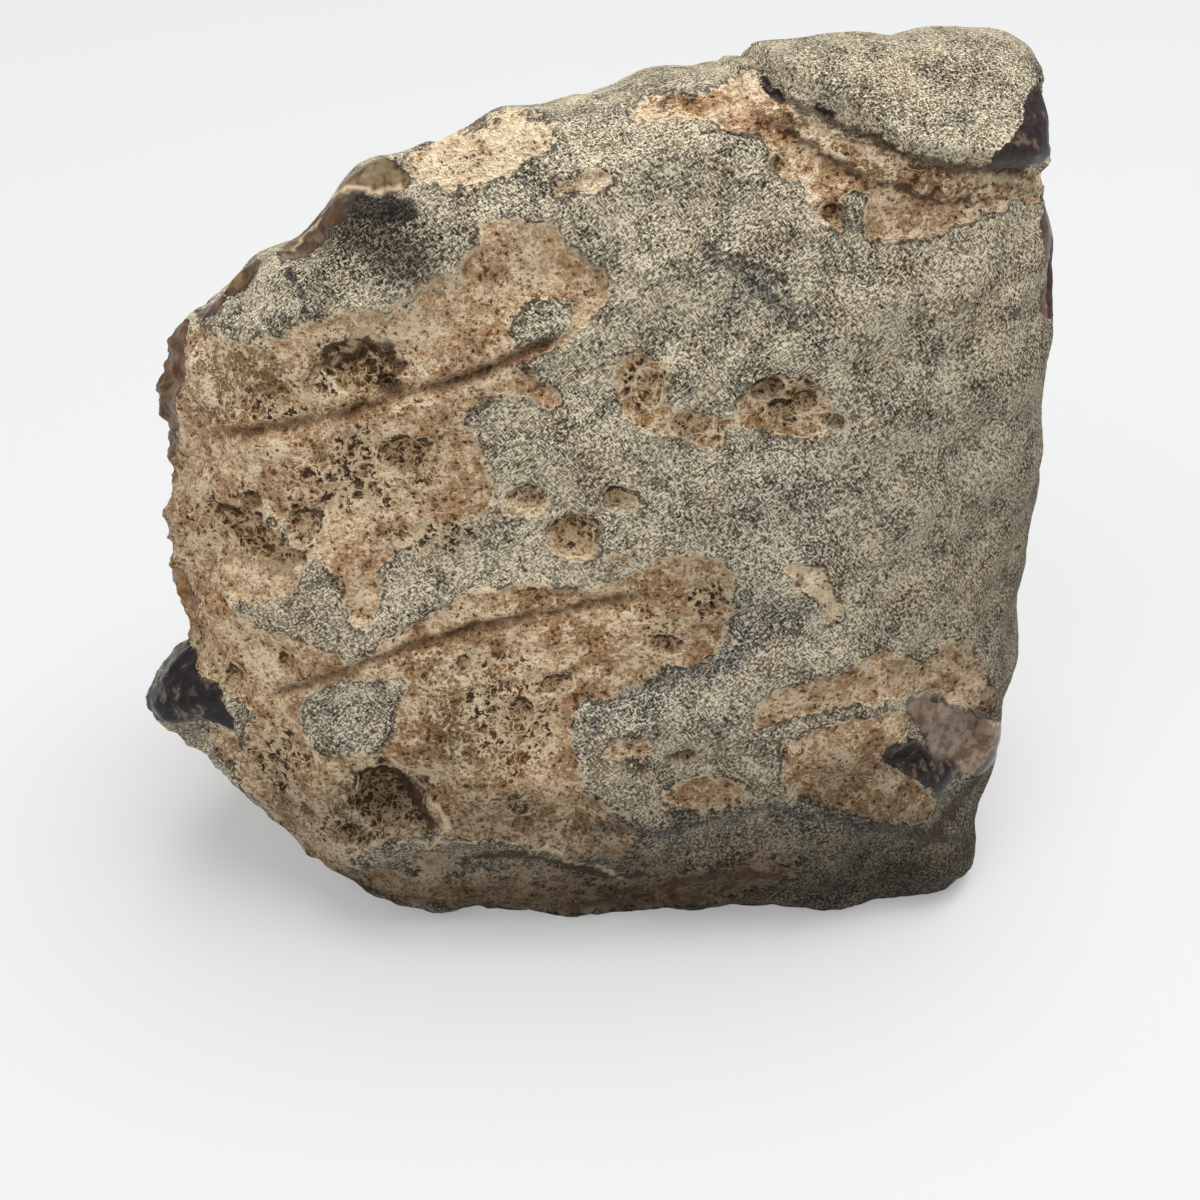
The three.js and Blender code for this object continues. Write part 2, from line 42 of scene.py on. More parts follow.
# Everything about the stone, in millimetres and degrees. Places on the rind are (u, v): to the right and up
# on a view of the front from 30 degrees above. Outlines and paths list u, v, u, v and so on. Colours are
# 0 to 255.
stone = {
    "heart": (-1, 8.2, 37),  # every reach is measured from here
    "centring": (1.1, 0.2, 0),  # last move, to the middle of the plan
    "cutFaceY": 17.2,
    "blend": 16,  # larger gives sharper edges between the sides
    "sightTilt": 30,
    "reliefDepths": (0, 15),  # relief is whole in front of the first, gone behind the second
    "frontDepths": (6, 14),  # the same for the finish of the front
    "ball": (37, 21, 60),  # half width, depth in front and depth behind of the ball it starts from
    "ballCuts": 8,
    "quickCuts": 7,
    # bearing seen from the front, degrees turned forward, reach
    "sides": [
        (79, 81, 21.5), (86, 43, 34.5), (-88, 66, 36.2), (169, 59, 29.5), (10, 60, 31), (7, -5, 36.9),
        (30, -11, 44.5), (70, -17, 43.4), (101, -21, 27.2), (127, -18, 26.5), (145, -12, 41), (176, -6, 32.5),
        (-142, 1, 40.5), (-118, 8, 48), (-90, 7, 43), (-56, 9, 66), (-10, -2, 40.9), (0, -90, 20),
    ],
    # u, v, half width, half height, height outward
    "swells": [
        (-34.8, 14, 3.6, 3.2, 4.4), (-16.5, 54.5, 3, 3, 0.9), (-21, 51, 3.2, 2.6, -0.8),
        (-24, 22.5, 6, 3.4, 0.8), (12, 21, 8, 7, 0.6), (-7, 9, 5, 4, 0.6), (21, 46, 7, 5, 0.5),
        (26, 31, 6, 7, -0.4), (22, 12, 5, 4.5, 0.8), (34, 57.5, 3, 3, -2), (7, 64, 4.5, 4, 1),
        (-31, 44.8, 3, 3, 0.2), (-34, 35, 3, 2.5, -0.6), (-31.5, 7.5, 3.4, 3, 0.9), (-34.6, 9.4, 2.4, 2.2, 0.9),
        (-34, 19.8, 2.5, 2.2, -1.6), (12.5, 66, 2.5, 3, -0.5), (-26, -1, 4, 4, -0.5), (32, -3, 4, 4, 1.4),
        (36, 25, 4, 5, -0.9), (35, 45.5, 4, 4, 0.5), (30, 64, 2.5, 2.5, 0.6),
    ],
    # turns per millimetre along x, y and z, start, height
    "waves": [
        (0.52, 0.31, 0.24, 1, 0.2), (-0.33, 0.45, 0.62, 2, 0.18), (0.21, -0.6, 0.93, 0.4, 0.12),
        (1.05, 0.4, -0.55, 3.1, 0.12),
    ],
    "stepsFade": (61, 67),
    # height, width, share that drops below the line, line
    "steps": [
        (1.3, 0.9, 0, [9, 72, 11, 65, 11.7, 61.8, 13.1, 60.2, 17, 58.4, 21.5, 55.8, 27.2, 55.1, 36, 56]),
        (0.6, 0.8, 0, [7, 72, 11, 58.5, 14.3, 56.6, 19.2, 53.7, 22.7, 52.9, 27.4, 53, 36, 54.6]),
        (0.7, 1.0, 1, [-30, -2, -20, -1, -12, 1.4, -4, 0.4, 4, 1, 9, -2.2, 20, -3.6, 36, -3]),
    ],
    # u, v, width, height, turn, depth, raggedness
    "pits": [
        (-16.9, 5.8, 7.4, 6.6, 20, 2.8, 0.3), (-21.2, 2.2, 3.8, 2, 25, 1.3, 0.3),
        (-16.8, 41, 6.4, 4, -25, 1.6, 0.3), (-14.6, 39.8, 2, 1.6, 0, 2.2, 0.2),
        (-13.5, 34.9, 4, 3.8, 0, 1.3, 0.4), (-25.9, 31.3, 1.6, 1.5, 0, 1.8, 0.2),
        (-26.2, 28.2, 8.4, 4, -30, 1.4, 0.4), (-28.9, 30.3, 3.4, 2.6, -20, 0.7, 0.5),
        (-22.4, 26.9, 1.2, 1.2, 0, 1.5, 0.3), (-21.7, 29.6, 2.6, 2.6, 0, 1, 0.4),
        (-24.8, 17.9, 1.6, 2.2, 0, 1, 0.3), (-29.7, 16.3, 1.5, 2.9, 0, 0.9, 0.3),
        (12.7, 39.7, 2.6, 1.8, 10, 1.1, 0.2), (14.1, 38, 2.3, 1.7, 0, 1.1, 0.2),
        (15.6, 38.7, 1.9, 1.6, 0, 1.4, 0.2), (17.7, 37.4, 2, 1.2, -20, 0.8, 0.2),
        (-1.4, 29, 4.2, 3.9, 0, 1.2, 0.35), (2.2, 31.6, 2.8, 2, 0, 0.9, 0.2), (5.7, 20.1, 2.7, 2.2, 0, 1, 0.25),
        (-10.2, 18.1, 1.5, 2, 0, 0.8, 0.2), (-5.6, 14.3, 2, 2.7, 0, 0.9, 0.25),
        (-3, 16.6, 2.9, 1.8, 10, 0.9, 0.25), (-5.8, 5.8, 3, 1.8, 0, 0.7, 0.25),
        (-24.6, 3.9, 1.5, 1.5, 0, 1.2, 0.2), (-25.7, 10.5, 1.3, 1.3, 0, 0.9, 0.2),
        (-28.6, 8.9, 1.5, 1.2, 0, 0.9, 0.2), (7.4, 9.9, 2.7, 1.1, 12, 0.8, 0.2),
        (12.8, 54.9, 1.3, 1.1, 0, 0.8, 0.1), (16.7, 51.8, 1.9, 1.4, 0, 0.9, 0.2),
        (15.9, 25.3, 1.1, 0.7, 60, 0.6, 0.6), (-5, 31.6, 3.7, 2, 0, 0.5, 0.3), (7.2, 37.2, 3, 2.2, 0, 0.6, 0.3),
        (4.2, 39.9, 2.4, 2.8, 0, 0.6, 0.3),
    ],
    # shell-shaped chips along the rim, in the same order
    "chips": [
        (-14.8, 53.2, 7.6, 5, 25, 1.2, 0.15), (-20, 49.8, 4.4, 3, 40, 0.9, 0.15),
        (-25.4, 47.4, 4, 3, 45, 0.9, 0.15), (-31, 41.5, 3, 5.6, -12, 0.9, 0.15),
        (-33.4, 24.3, 3.4, 4.4, 0, 0.8, 0.15), (33.9, 47.4, 2, 7, 3, 0.8, 0.15),
        (31.6, 58, 6, 7.6, -30, 2, 0.1),
    ],
    # u, v, width, height, turn, lean to the right, lean upward, depth
    "breaks": [
        (26.7, 13.7, 2.8, 4.4, -14, 16, 0, 0.7), (26.2, 9.4, 6, 3.2, -14, 6, -20, 1),
        (31.2, 10.6, 6.8, 5, 10, 10, 10, 0.9),
    ],
    # width, depth, path
    "grooves": [
        (1.7, 0.9, [-30.7, 35.9, -24.3, 36.7, -19, 37.5, -13.8, 39, -8, 40.7, -3.3, 42.8, -0.1, 44.2]),
        (1.6, 0.8, [-26.8, 15.1, -23.5, 16, -16.7, 18.8, -8.7, 21.5, -2.5, 22.6, 2.1, 23.6, 8.3, 23.9]),
    ],
    # thin cracks: width, depth, path
    "cracks": [
        (0.16, 0.2, [7.4, 56.9, 8.7, 57.1, 10.5, 56.8]), (0.16, 0.2, [6, 9.7, 7.6, 9.8, 9.2, 10.9, 11.1, 12.3]),
        (0.2, 0.3, [14.5, -0.3, 15.6, -0.5, 16.9, -0.6]), (0.4, 0.8, [11.8, 61, 12.5, 60, 13.2, 59.4]),
        (0.3, 0.5, [15.4, 58.9, 16.7, 58.2]),
    ],
    # soft painted lines: finish, width, strength, path
    "lines": [
        ("pale", 0.5, 0.8, [-16.2, 2, -13.6, 2.3, -12, 3.7, -12.5, 5.2]),
        ("pale", 0.5, 0.7, [-12.7, 2.2, -8.5, 2.5, -4.3, 1.8, -1.3, 0, 2.5, -2]),
        ("bark", 0.9, 0.8, [-11.2, 0.1, -6, 1.2, -2.2, -0.3, 1.2, -2, 4.3, -1.3]),
        ("umber", 0.35, 0.7, [14.2, 56.5, 16.3, 55.4, 17.7, 54.4, 19.1, 53.7, 20.8, 53.2, 22.6, 52.8,
            27.3, 52.9, 31.9, 54.1]),
        ("bark", 1.6, 0.5, [-20.5, -3.6, -15.1, -4.5, -9.1, -5.7, -1.9, -5.7, 3.9, -5.1]),
        ("pale", 0.5, 0.6, [27.5, 26.8, 30.3, 26.1, 32.7, 25.1]),
        ("inky", 0.5, 0.8, [-20.9, 48, -20.5, 46.6, -20.2, 45.2]),
        ("inky", 1.8, 0.5, [-0.2, 3.7, 5.7, 3.2, 14.8, 5.4, 24.6, 2.8, 32.1, 0.5]),
        ("inky", 1.8, 0.4, [-1, 15, 4, 16.4, 8, 17.6, 12, 19.4]),
        ("inky", 1.6, 0.5, [7.9, 49.4, 10, 48.2, 12.3, 46.4, 14.1, 44.8]),
        ("umber", 0.5, 0.8, [9.9, 49.1, 11.8, 48.2, 13.7, 47]),
        ("bark", 0.7, 0.6, [12, 58, 14.3, 56.6, 17.5, 54.9, 19.3, 54, 22.7, 53.4]),
        ("bark", 1, 0.7, [13, 59.2, 17, 57.6, 20, 55.9, 24, 54.8, 30, 54.7]),
        ("pale", 0.4, 0.8, [15, 57.6, 18, 56, 20.6, 54.6, 24, 53.9, 31, 54.3]),
        ("bark", 1, 0.8, [-19.8, 41, -19.1, 41.7, -17.3, 42, -16.4, 42.7, -15.3, 43.1, -14.3, 42.2, -13.8, 41]),
        ("pale", 0.5, 0.9, [-20, 40.4, -19.3, 41.1, -18.1, 41.6, -17.1, 42.6, -17.2, 43.4, -16.2, 44.1,
            -14.9, 43.1]),
        ("pale", 0.4, 0.9, [-16.2, 44.4, -15.1, 44.8, -14, 45.3, -11.8, 46.6, -10.4, 47.4, -8.8, 47.1,
            -9.3, 48.1, -7.9, 49.8]),
        ("pale", 0.35, 0.7, [-3.7, 51.1, -2.4, 50.2, -0.6, 48.8, 1.5, 47.2]),
        ("bark", 5, 0.5, [-17.5, 51.5, -14.5, 50, -12, 48]),
        ("plum", 2.4, 0.9, [-16.2, 52.3, -14.4, 52, -13, 51.8]),
        ("pale", 0.7, 0.6, [-18.6, 53.2, -17, 53.4, -14.8, 53.3, -13, 53.2]),
        ("pale", 0.4, 0.6, [-23.2, 49.2, -21, 49.6, -19.4, 50.6, -18.6, 52]),
        ("bark", 1.2, 0.9, [-19.4, 8.7, -17.3, 8.8, -15.6, 7.3, -14.3, 5.6, -13.6, 4]),
        ("pale", 0.5, 0.8, [-20.8, 7.4, -19.6, 9, -16.4, 9.4, -14.4, 7.4, -12.7, 5.4, -12.6, 2.8, -14.1, 1.1]),
        ("bark", 0.5, 0.8, [13, 13, 13.3, 13.2]), ("bark", 0.6, 0.8, [33.9, 27.2, 34.4, 27.3]),
        ("bark", 1.4, 0.7, [6, -3, 10, -1, 13, -1.2, 16, -1.6]), ("bark", 0.6, 0.9, [7, 9.8, 8, 9.9]),
        ("pale", 0.45, 0.9, [28.7, 14.8, 30.7, 13.8, 34.3, 11.7, 35.4, 11]),
        ("bark", 0.35, 0.7, [30.1, 18.3, 29.8, 17, 28.6, 15.8]),
        ("black", 0.5, 0.9, [28.2, 14.6, 27.4, 11.8, 28.4, 9.2]),
        ("bark", 0.5, 0.7, [28.4, 14.6, 31, 13.4, 34, 11.4]),
        ("pale", 0.5, 0.8, [25.2, 15.2, 28.4, 15.5, 30.4, 14.4]),
        ("umber", 2.6, 0.6, [29.6, 1, 31.4, 3.4, 33, 5.6, 35, 8]),
    ],
    # places where the two layers mix: u, v, half width, half height, turn, millimetres inside, weight
    "blends": [
        (-25, 3.5, 7, 5, -40, 0.15, 0.8), (-4, -3, 16, 4, 0, 0, 0.9), (0, 3, 6, 3, -10, 0, 0.8),
        (-33, 21, 3, 5, 0, 0.2, 0.6), (-7, 57, 7, 4, 25, 0.15, 0.8), (13, -1, 7, 2.2, 0, 0, 0.8),
        (9.5, 22, 3.4, 2.6, 0, 0.1, 0.7), (-18, 47.5, 6, 2.6, 30, -0.9, 0.5), (-24, 44.4, 6, 1.4, 10, 0, 0.8),
        (30, 27, 4, 1.6, -15, -0.1, 0.7), (32, 2, 3, 5, 0, 0, 0.6), (-10, 28, 4, 1.5, 20, 0, 0.7),
        (-5, 32, 3, 1.6, 0, -0.1, 0.8), (2, 59, 7, 1.6, 14, -0.4, 0.5), (9, 6.5, 6, 1.8, 0, 0.1, 0.7),
        (-19, 12.6, 3.4, 2.4, 0, -0.4, 0.6), (-4.6, 45.2, 2.6, 1.8, 20, -0.3, 0.5), (3.2, 8, 2.4, 5, 0, 0, 0.7),
        (26, 20, 8, 1.4, 5, -0.1, 0.5), (-27, 28.5, 3, 2.4, 0, 0.2, 0.4),
    ],
    # darker towards the foot and the right: u, v, half width, half height, turn, share of light lost
    "shades": [
        (28, -2, 16, 6.5, 0, 0.9), (6, -4.5, 24, 5.4, 0, 0.9), (12, -2, 18, 5.5, 0, 0.5), (9, 8, 6, 4, 0, 0.25),
        (21, 8, 4, 4, 0, 0.25), (2, 1.5, 7, 4, 0, 0.25), (-14, -4, 16, 4.5, 0, 0.55), (36, 12, 4, 14, 0, 0.45),
        (30, 24, 16, 22, 0, 0.34), (16, 4, 18, 5, 0, 0.4), (-15.5, 50, 5, 3.4, -15, 0.5),
        (36, 40, 3, 26, 0, 0.3), (12, 66, 30, 5, 0, 0.22), (-12, 8, 7, 6, 0, 0.28), (-9.5, 33, 3, 5, 0, 0.14),
        (-35, 30, 2.5, 20, 0, 0.3), (-35, 14, 4, 4, 0, 0.3), (9, 24, 4, 4, 0, 0.42), (-9, 3, 8, 4, 0, 0.42),
        (-36, 14, 3, 3, 0, 0.3), (-27, 4, 5, 7, -40, 0.45), (-18, 4, 5, 4, 20, 0.35), (-21, -3, 5, 3, 0, 0.4),
    ],
    # spongy places: u, v, half width, half height, size of a cell, depth
    "sponges": [
        (-15.5, 34, 5.5, 3.6, 1.5, 0.8), (-13.4, 35, 2.2, 2, 1.1, 0.9), (-16.8, 40.6, 3.4, 2, 1.4, 0.9),
        (-24.5, 28, 4.5, 2, 1.3, 0.9), (-29.5, 30, 2.6, 1.8, 1.1, 0.9), (-21.8, 30, 1.8, 1.8, 1, 0.8),
        (-20, 32.5, 4.5, 3.4, 1.3, 0.45), (-16.9, 5.6, 4.2, 3.6, 1.6, 1.0), (-21.6, 2.8, 2.6, 2, 1.2, 0.8),
        (-1.4, 29, 2.1, 2, 1, 0.8), (14.6, 38.6, 3.2, 1.9, 1.3, 0.9), (4, 40, 1.9, 2.2, 1, 0.6),
        (7.8, 37, 2.6, 1.2, 1, 0.5), (-6.5, 14, 4, 6.5, 2.1, 0.5), (9.2, 23.8, 2, 2.4, 1, 0.6),
        (-26.6, 9.5, 3.2, 4, 1.2, 0.5), (-12, 28.6, 4, 1.6, 1.1, 0.5), (-23.5, 38.2, 4.5, 1.2, 1.2, 0.5),
        (1.5, 10.5, 1.5, 4, 1.2, 0.1), (5.6, 20.6, 1.7, 1.6, 0.9, 0.6),
    ],
    # flaked patches where a smooth tan layer shows: finish, outline
    "patches": [
        ("tan", [-29.9, 43.8, -28.7, 44.5, -25.7, 43.1, -22.4, 43.6, -20.1, 44.8, -16.8, 45.4, -16.2, 44.8,
            -13, 45.1, -11.8, 46.8, -10.4, 47.5, -9, 47.1, -9.3, 48.1, -7.9, 49.8, -8.2, 50.4, -6.8, 51.1,
            -3.7, 51.1, -2.4, 50.2, -0.6, 48.8, 1.5, 47.2, 0.8, 45.5, -1, 43.8, -1.7, 42.9, -3.5, 42,
            -5.5, 41.3, -3.9, 40.6, -2.1, 39.5, -2.5, 38.3, -4, 38.8, -5.7, 39.4, -7.2, 39.2, -8.7, 38.1,
            -9.1, 37.4, -8.1, 35.5, -7.4, 33.9, -7.4, 32.5, -7.8, 31.2, -9.4, 29.9, -11.3, 28.9, -13.5, 28.3,
            -16, 26.7, -16.5, 25.3, -16.3, 23.3, -16.7, 21.3, -17.9, 21, -19, 22.1, -19.2, 24.8, -20.2, 26.1,
            -21.1, 27.5, -21.9, 25.5, -24.6, 23.7, -27.7, 23.1, -29.6, 23.8, -27.8, 22.5, -26.8, 20.8,
            -23.7, 20.6, -20.5, 19.3, -17.2, 17.7, -20.9, 15.9, -26.9, 12.8, -29.5, 14.4, -31.2, 16, -35.2, 16,
            -36.5, 22.2, -35.8, 29.1, -34.2, 37.7, -33.5, 41.7]),
        ("khaki", [-29.6, 43.2, -25.7, 43.3, -22.5, 42.6, -21.6, 41.3, -21.4, 39.9, -23.5, 38.8, -25.9, 37.7,
            -30, 37.3, -30.2, 39.6]),
        ("ochre", [-19.9, 43.1, -17.6, 44.4, -15.9, 44.1, -14.2, 42.7, -13.3, 40.3, -12.6, 38.5, -14.5, 37.7,
            -17.5, 37.4, -21.3, 37.7, -20.6, 40.3]),
        ("brown", [-26.6, 14.7, -24.4, 15.6, -19.8, 18.2, -14.8, 21.2, -12, 22.7, -9.2, 24.5, -7.7, 24.5,
            -5.4, 24.9, -2.7, 24.8, 0, 24.4, 3.8, 26, 5, 27.1, 6.9, 27.5, 9.6, 27, 10.8, 25.3, 11, 23.7,
            10.5, 21.2, 9.4, 19.5, 7.5, 18.3, 4.8, 16.9, 0.8, 15.2, -1.6, 14.8, -2, 12.6, -1.2, 9.9, -0.9, 7,
            2, 5.4, 4.2, 2.7, 2.5, -0.2, -1.7, 1.2, -5.9, 2.4, -10.1, 2.5, -12.6, 2.8, -13.4, 3.8, -15.2, 3,
            -17.7, 2.3, -20.5, 0.6, -23.3, 1.5, -25.8, 4.2, -28.3, 7.7, -30, 11, -27.7, 13.4]),
        ("olive", [-20.8, 7.4, -19.4, 8.8, -16.4, 9.1, -15.2, 7.4, -13.3, 5.7, -13.6, 3.8, -16.9, 2.3, -20, 1.4,
            -22.8, 1.6, -22.4, 4.7]),
        ("khaki", [-14, 17.8, -11.1, 18.2, -7.9, 17.8, -5.6, 15.1, -4.5, 13.4, -5.7, 11.7, -8.1, 10.9,
            -9.8, 8.2, -12.2, 10, -13.7, 12.7]),
        ("brown", [-7.1, 31.2, -5.2, 32.3, -3.7, 32, -2.6, 31.2, -3.8, 30.2, -6.4, 30]),
        ("ochre", [-3, 29.6, -1.9, 30.8, -0.2, 30.6, 0.2, 28.8, 1, 27.3, -1.5, 26.8, -3.4, 27.5, -3.7, 28.8]),
        ("ochre", [0.7, 31.9, 1.5, 32.4, 3.4, 31.9, 3.8, 31.2, 2.3, 30.8, 1.1, 31.2]),
        ("brown", [0.8, 27.1, 1.9, 27.5, 3.1, 27.1, 2.3, 26.5]),
        ("ochre", [10.6, 38.6, 11.1, 39.7, 12.2, 40.4, 13.2, 40.8, 14.7, 40.4, 16.2, 39.7, 17.5, 39.2,
            17.8, 37.7, 16.9, 36.4, 15, 36.3, 13.5, 36.6, 11.6, 36.8, 10.7, 37.4]),
        ("ochre", [2, 42.2, 2.7, 42.4, 4.5, 42.2, 5.5, 41.3, 5.6, 40.4, 4.6, 39.5, 5.3, 38.5, 7.5, 38.1,
            9.4, 37.4, 10.9, 37.6, 9.8, 36.6, 9.5, 35.5, 8, 35.5, 6.1, 36.6, 3.9, 36.6, 2.4, 37.7, 1.5, 39.2,
            1.7, 41]),
        ("rose", [7.8, 59.9, 9.6, 60.4, 11, 61.6, 11.5, 61.1, 11.9, 59.5, 12.4, 58.3, 13.6, 56.5, 15.7, 55.2,
            17.8, 53.9, 19.9, 53.2, 22.7, 52.8, 26.4, 52.7, 29.5, 53.3, 34, 54.8, 34, 54.4, 29.2, 52.6,
            27.2, 51.9, 25.1, 50.5, 23, 50.1, 20.9, 50.3, 19.2, 49.9, 18.6, 50.3, 19, 51.2, 19.2, 52.9,
            17.8, 53.5, 17.2, 53, 17.6, 51.5, 17.3, 50.7, 16.2, 50.7, 15.5, 51.4, 15.3, 52.5, 14.9, 53.9,
            13.7, 53.8, 12.5, 54.5, 12.1, 55.5, 11.9, 56.5, 10.5, 56.8, 9.1, 57.3, 8.1, 57.8, 7.8, 58.8]),
        ("orange", [2.3, 58.7, 3, 59.6, 5.1, 60, 7.8, 59.9, 8.4, 59.2, 8, 58.1, 5.7, 57.7, 3.3, 57.7]),
        ("rose", [12.4, 60.6, 13.4, 58.8, 14.6, 57.7, 15.9, 57.1, 17.4, 55.9, 19, 55.1, 20.6, 54.3, 22.9, 53.9,
            26.3, 53.9, 28.6, 54.2, 34, 55.6, 34, 53.9, 29, 52.3, 26.5, 51.9, 22.6, 51.9, 19.9, 52.4, 18, 53.3,
            16.2, 54.1, 14.8, 55.2, 13.4, 55.9, 11.8, 57.6, 11.2, 60]),
        ("golden", [11.5, 61.1, 12.4, 59.5, 13.6, 58.6, 15.3, 57.8, 17, 57.2, 18.4, 56.5, 21.1, 55.5,
            24.6, 54.8, 27.6, 54.5, 34.3, 55.7, 34, 54.8, 28.6, 53.2, 26.3, 52.9, 22.7, 52.9, 20.2, 53.3,
            18.5, 54.2, 16.8, 55, 15.3, 56.2, 14, 56.8, 12.6, 58.1]),
        ("tan", [12.7, 13.6, 13.4, 15.1, 15.4, 16.2, 18.1, 16.9, 20.9, 18.1, 22.9, 19.5, 25.2, 18, 27.8, 18.5,
            28.1, 19.3, 29.9, 19.7, 31.3, 18.2, 32.8, 16.3, 34.2, 13.1, 33.7, 12.4, 30.7, 13.7, 28.7, 14.8,
            27.7, 15.8, 25.5, 15.6, 25.1, 15, 20, 14.6, 16.8, 13.9, 14.4, 12.9, 13, 12.7]),
        ("brown", [15.3, 12, 18.5, 12.8, 21.7, 13.7, 25.1, 14.3, 26.3, 12.7, 25.3, 11.3, 24.3, 10.1, 24.4, 8.6,
            26.4, 8, 28.3, 6.5, 29.3, 4.8, 29.3, 3.3, 27.4, 2.9, 24.5, 3.5, 20.9, 4.9, 18.2, 5.6, 16, 6.9,
            15.4, 9.3]),
        ("bone", [14.4, 26.3, 17.5, 26.6, 18.2, 24.8, 20, 22.5, 18.9, 21.5, 17.8, 23, 16.9, 24, 15.9, 24.8]),
        ("tan", [5.6, 7, 7.2, 7.9, 9.7, 8.6, 12.6, 7.4, 13.1, 6.5, 11, 5.5, 7.7, 5.1, 6, 5.2]),
        ("brown", [0.8, 10.8, 1.8, 11.7, 3.9, 12.1, 4.9, 11.2, 4.3, 9.8, 2.2, 9.8, 1, 9.9]),
        ("pale", [-12.7, 55.6, -10.4, 56.8, -6.9, 58.4, -3.7, 58.4, -2.3, 57.4, -2.7, 55.8, -4.7, 54.8,
            -5.4, 54.1, -8.5, 53.5, -10.9, 53.4, -12.3, 54.1]),
        ("pale", [-3, 53.4, -1.6, 54.3, 0.8, 54.6, 1.6, 53.9, 1.1, 53.1, -0.6, 52.9, -2.7, 52.8]),
        ("brown", [-21.5, 0, -16.5, -1.5, -11.3, -2, -7.8, -0.5, -1.8, -0.9, 2.6, -2.8, 5.6, -1.9, 8.5, -1,
            12.8, 0.4, 17, 1.3, 18.4, -0.7, 14.9, -3.5, 8.9, -5.6, 4.4, -6.4, -1.9, -6.6, -9, -6, -15.1, -4.8,
            -20.3, -3.8]),
        ("pale", [-16.2, -0.6, -14.5, 1, -12.4, 0.8, -11.3, -0.7, -12.7, -2.5, -15.2, -2.2]),
        ("umber", [-7.5, 6.1, -6.2, 6.9, -4.6, 6.5, -4.4, 5.2, -5.7, 4.5, -7.1, 5.1]),
        ("khaki", [-2.7, 5.3, 1, 5.1, 1.9, 2.7, -0.2, 0.4, -2.8, 0.1]),
        ("brown", [-31.5, 12.4, -30, 11, -28.3, 7.7, -25.8, 4.2, -23.3, 1.5, -21.5, 0, -20.4, -2.9, -22, -3.3,
            -25.1, -0.6, -28.5, 4, -30.3, 7.3, -33.2, 10.4]),
    ],
    # rind left standing inside the flaked patches
    "windows": [
        [-6, 43.7, -4.9, 44.8, -3.5, 45.8, -1.7, 46.2, -1.3, 44.6, -2.1, 43.4, -3.9, 43.1, -5.7, 42.4],
        [-24.1, 14, -22.6, 15.8, -19.2, 16.8, -15, 17.4, -14.3, 16.6, -16.1, 14.3, -16.6, 11.7, -18.8, 10.2,
            -21.4, 10.1, -23.5, 11.2],
        [-25.2, 30.7, -24.3, 30.3, -22.9, 28.4, -21.2, 26.5, -21.6, 26, -22.6, 27, -24.1, 28.5],
    ],
    # fresh glossy chips down to the agate: finish, outline
    "glossy": [
        ("plum", [-39.5, 14.6, -39.5, 18, -36.5, 19.4, -34.2, 18.4, -33.2, 17.9, -33.1, 16.6, -31.2, 15.9,
            -30.6, 15.1, -30.6, 13.8, -29.8, 12.5, -30.3, 11.2, -31.1, 12.4, -33.2, 12.6, -36, 11.6, -38.9, 12,
            -39.5, 13.4]),
        ("smoke", [29.9, 59.7, 32.4, 62.4, 33.9, 61.5, 33.4, 55.7, 28.4, 54.7, 26.8, 54.9, 27.8, 55.7,
            29.1, 56.9, 29.5, 58.3]),
        ("redBrown", [32.1, 52.4, 34.5, 53.2, 35.1, 51.2, 35.7, 45.2, 33.7, 44.8, 32.9, 46, 33.2, 47.7,
            34, 48.3, 32.6, 49.6]),
        ("black", [11.4, 61.1, 12.4, 60.4, 13.3, 59.1, 12.6, 59, 11.9, 59.7]),
        ("black", [14.9, 59.1, 15.6, 58.8, 16.9, 58.2, 16, 58.2, 15.1, 58.5]),
        ("mauve", [25.1, 15, 28.3, 15.6, 28.2, 14, 27.3, 11.9, 26, 13.3]),
        ("mauve", [28.1, 14.5, 30.7, 13.7, 34.3, 11.7, 36.8, 10.4, 36.6, 6.5, 31.8, 6.7, 31.1, 8.3, 28.5, 9.1,
            27.2, 10.9, 28, 12.7]),
        ("black", [23.6, 10.3, 25.9, 11.6, 27.2, 10.9, 28.5, 9, 31.2, 8.2, 32.1, 6.8, 30.3, 6.6, 30.5, 4,
            29.1, 5.9, 26.3, 7.9, 24.6, 8.7]),
        ("olive", [-18.1, 53.5, -17.7, 56, -15.2, 56.6, -12.7, 54.5, -12.3, 53.8, -13, 53, -15.9, 53.1,
            -17.3, 52.5]),
        ("amber", [-19.6, 50.9, -20, 53.3, -19.2, 54.8, -17.2, 52.5, -16.3, 53, -16.4, 51.7, -17.9, 50.7]),
        ("drab", [-22.1, 48.7, -23.4, 51.4, -20.3, 51.9, -17.7, 50.6, -19.3, 49.5, -21.1, 48.6]),
        ("amber", [-26.8, 46.4, -26.9, 49.3, -25, 49.9, -23.3, 48.4, -24.3, 47.8, -25.8, 46.4]),
        ("redBrown", [-29.6, 44.9, -30.1, 47.1, -28.2, 47.5, -26.3, 46, -27.7, 44.9]),
        ("amber", [-33.9, 43.2, -33, 45.4, -30, 45.2, -30.2, 44, -30.5, 42.5, -30.4, 41, -31.3, 39.6,
            -31.6, 37.3, -32.4, 36.2, -33.6, 34.1, -35, 34.6, -35.1, 38.1, -35.2, 40.5]),
        ("honey", [-36.2, 25.3, -33.5, 25.8, -33.1, 23.4, -31.8, 22.9, -32.3, 22, -35.9, 21.4, -36.1, 23.1]),
    ],
    # soft stains on the rind: finish, u, v, half width, half height, turn, strength
    "stains": [
        ("blueGrey", -6.9, 53.5, 4, 1.6, 0, 0.6), ("blueGrey", 11.8, 47.6, 2.6, 3, 30, 0.7),
        ("blueGrey", 5, 16.1, 7, 2.4, 15, 0.85), ("blueGrey", -19.6, 12.6, 4.4, 3, 0, 0.5),
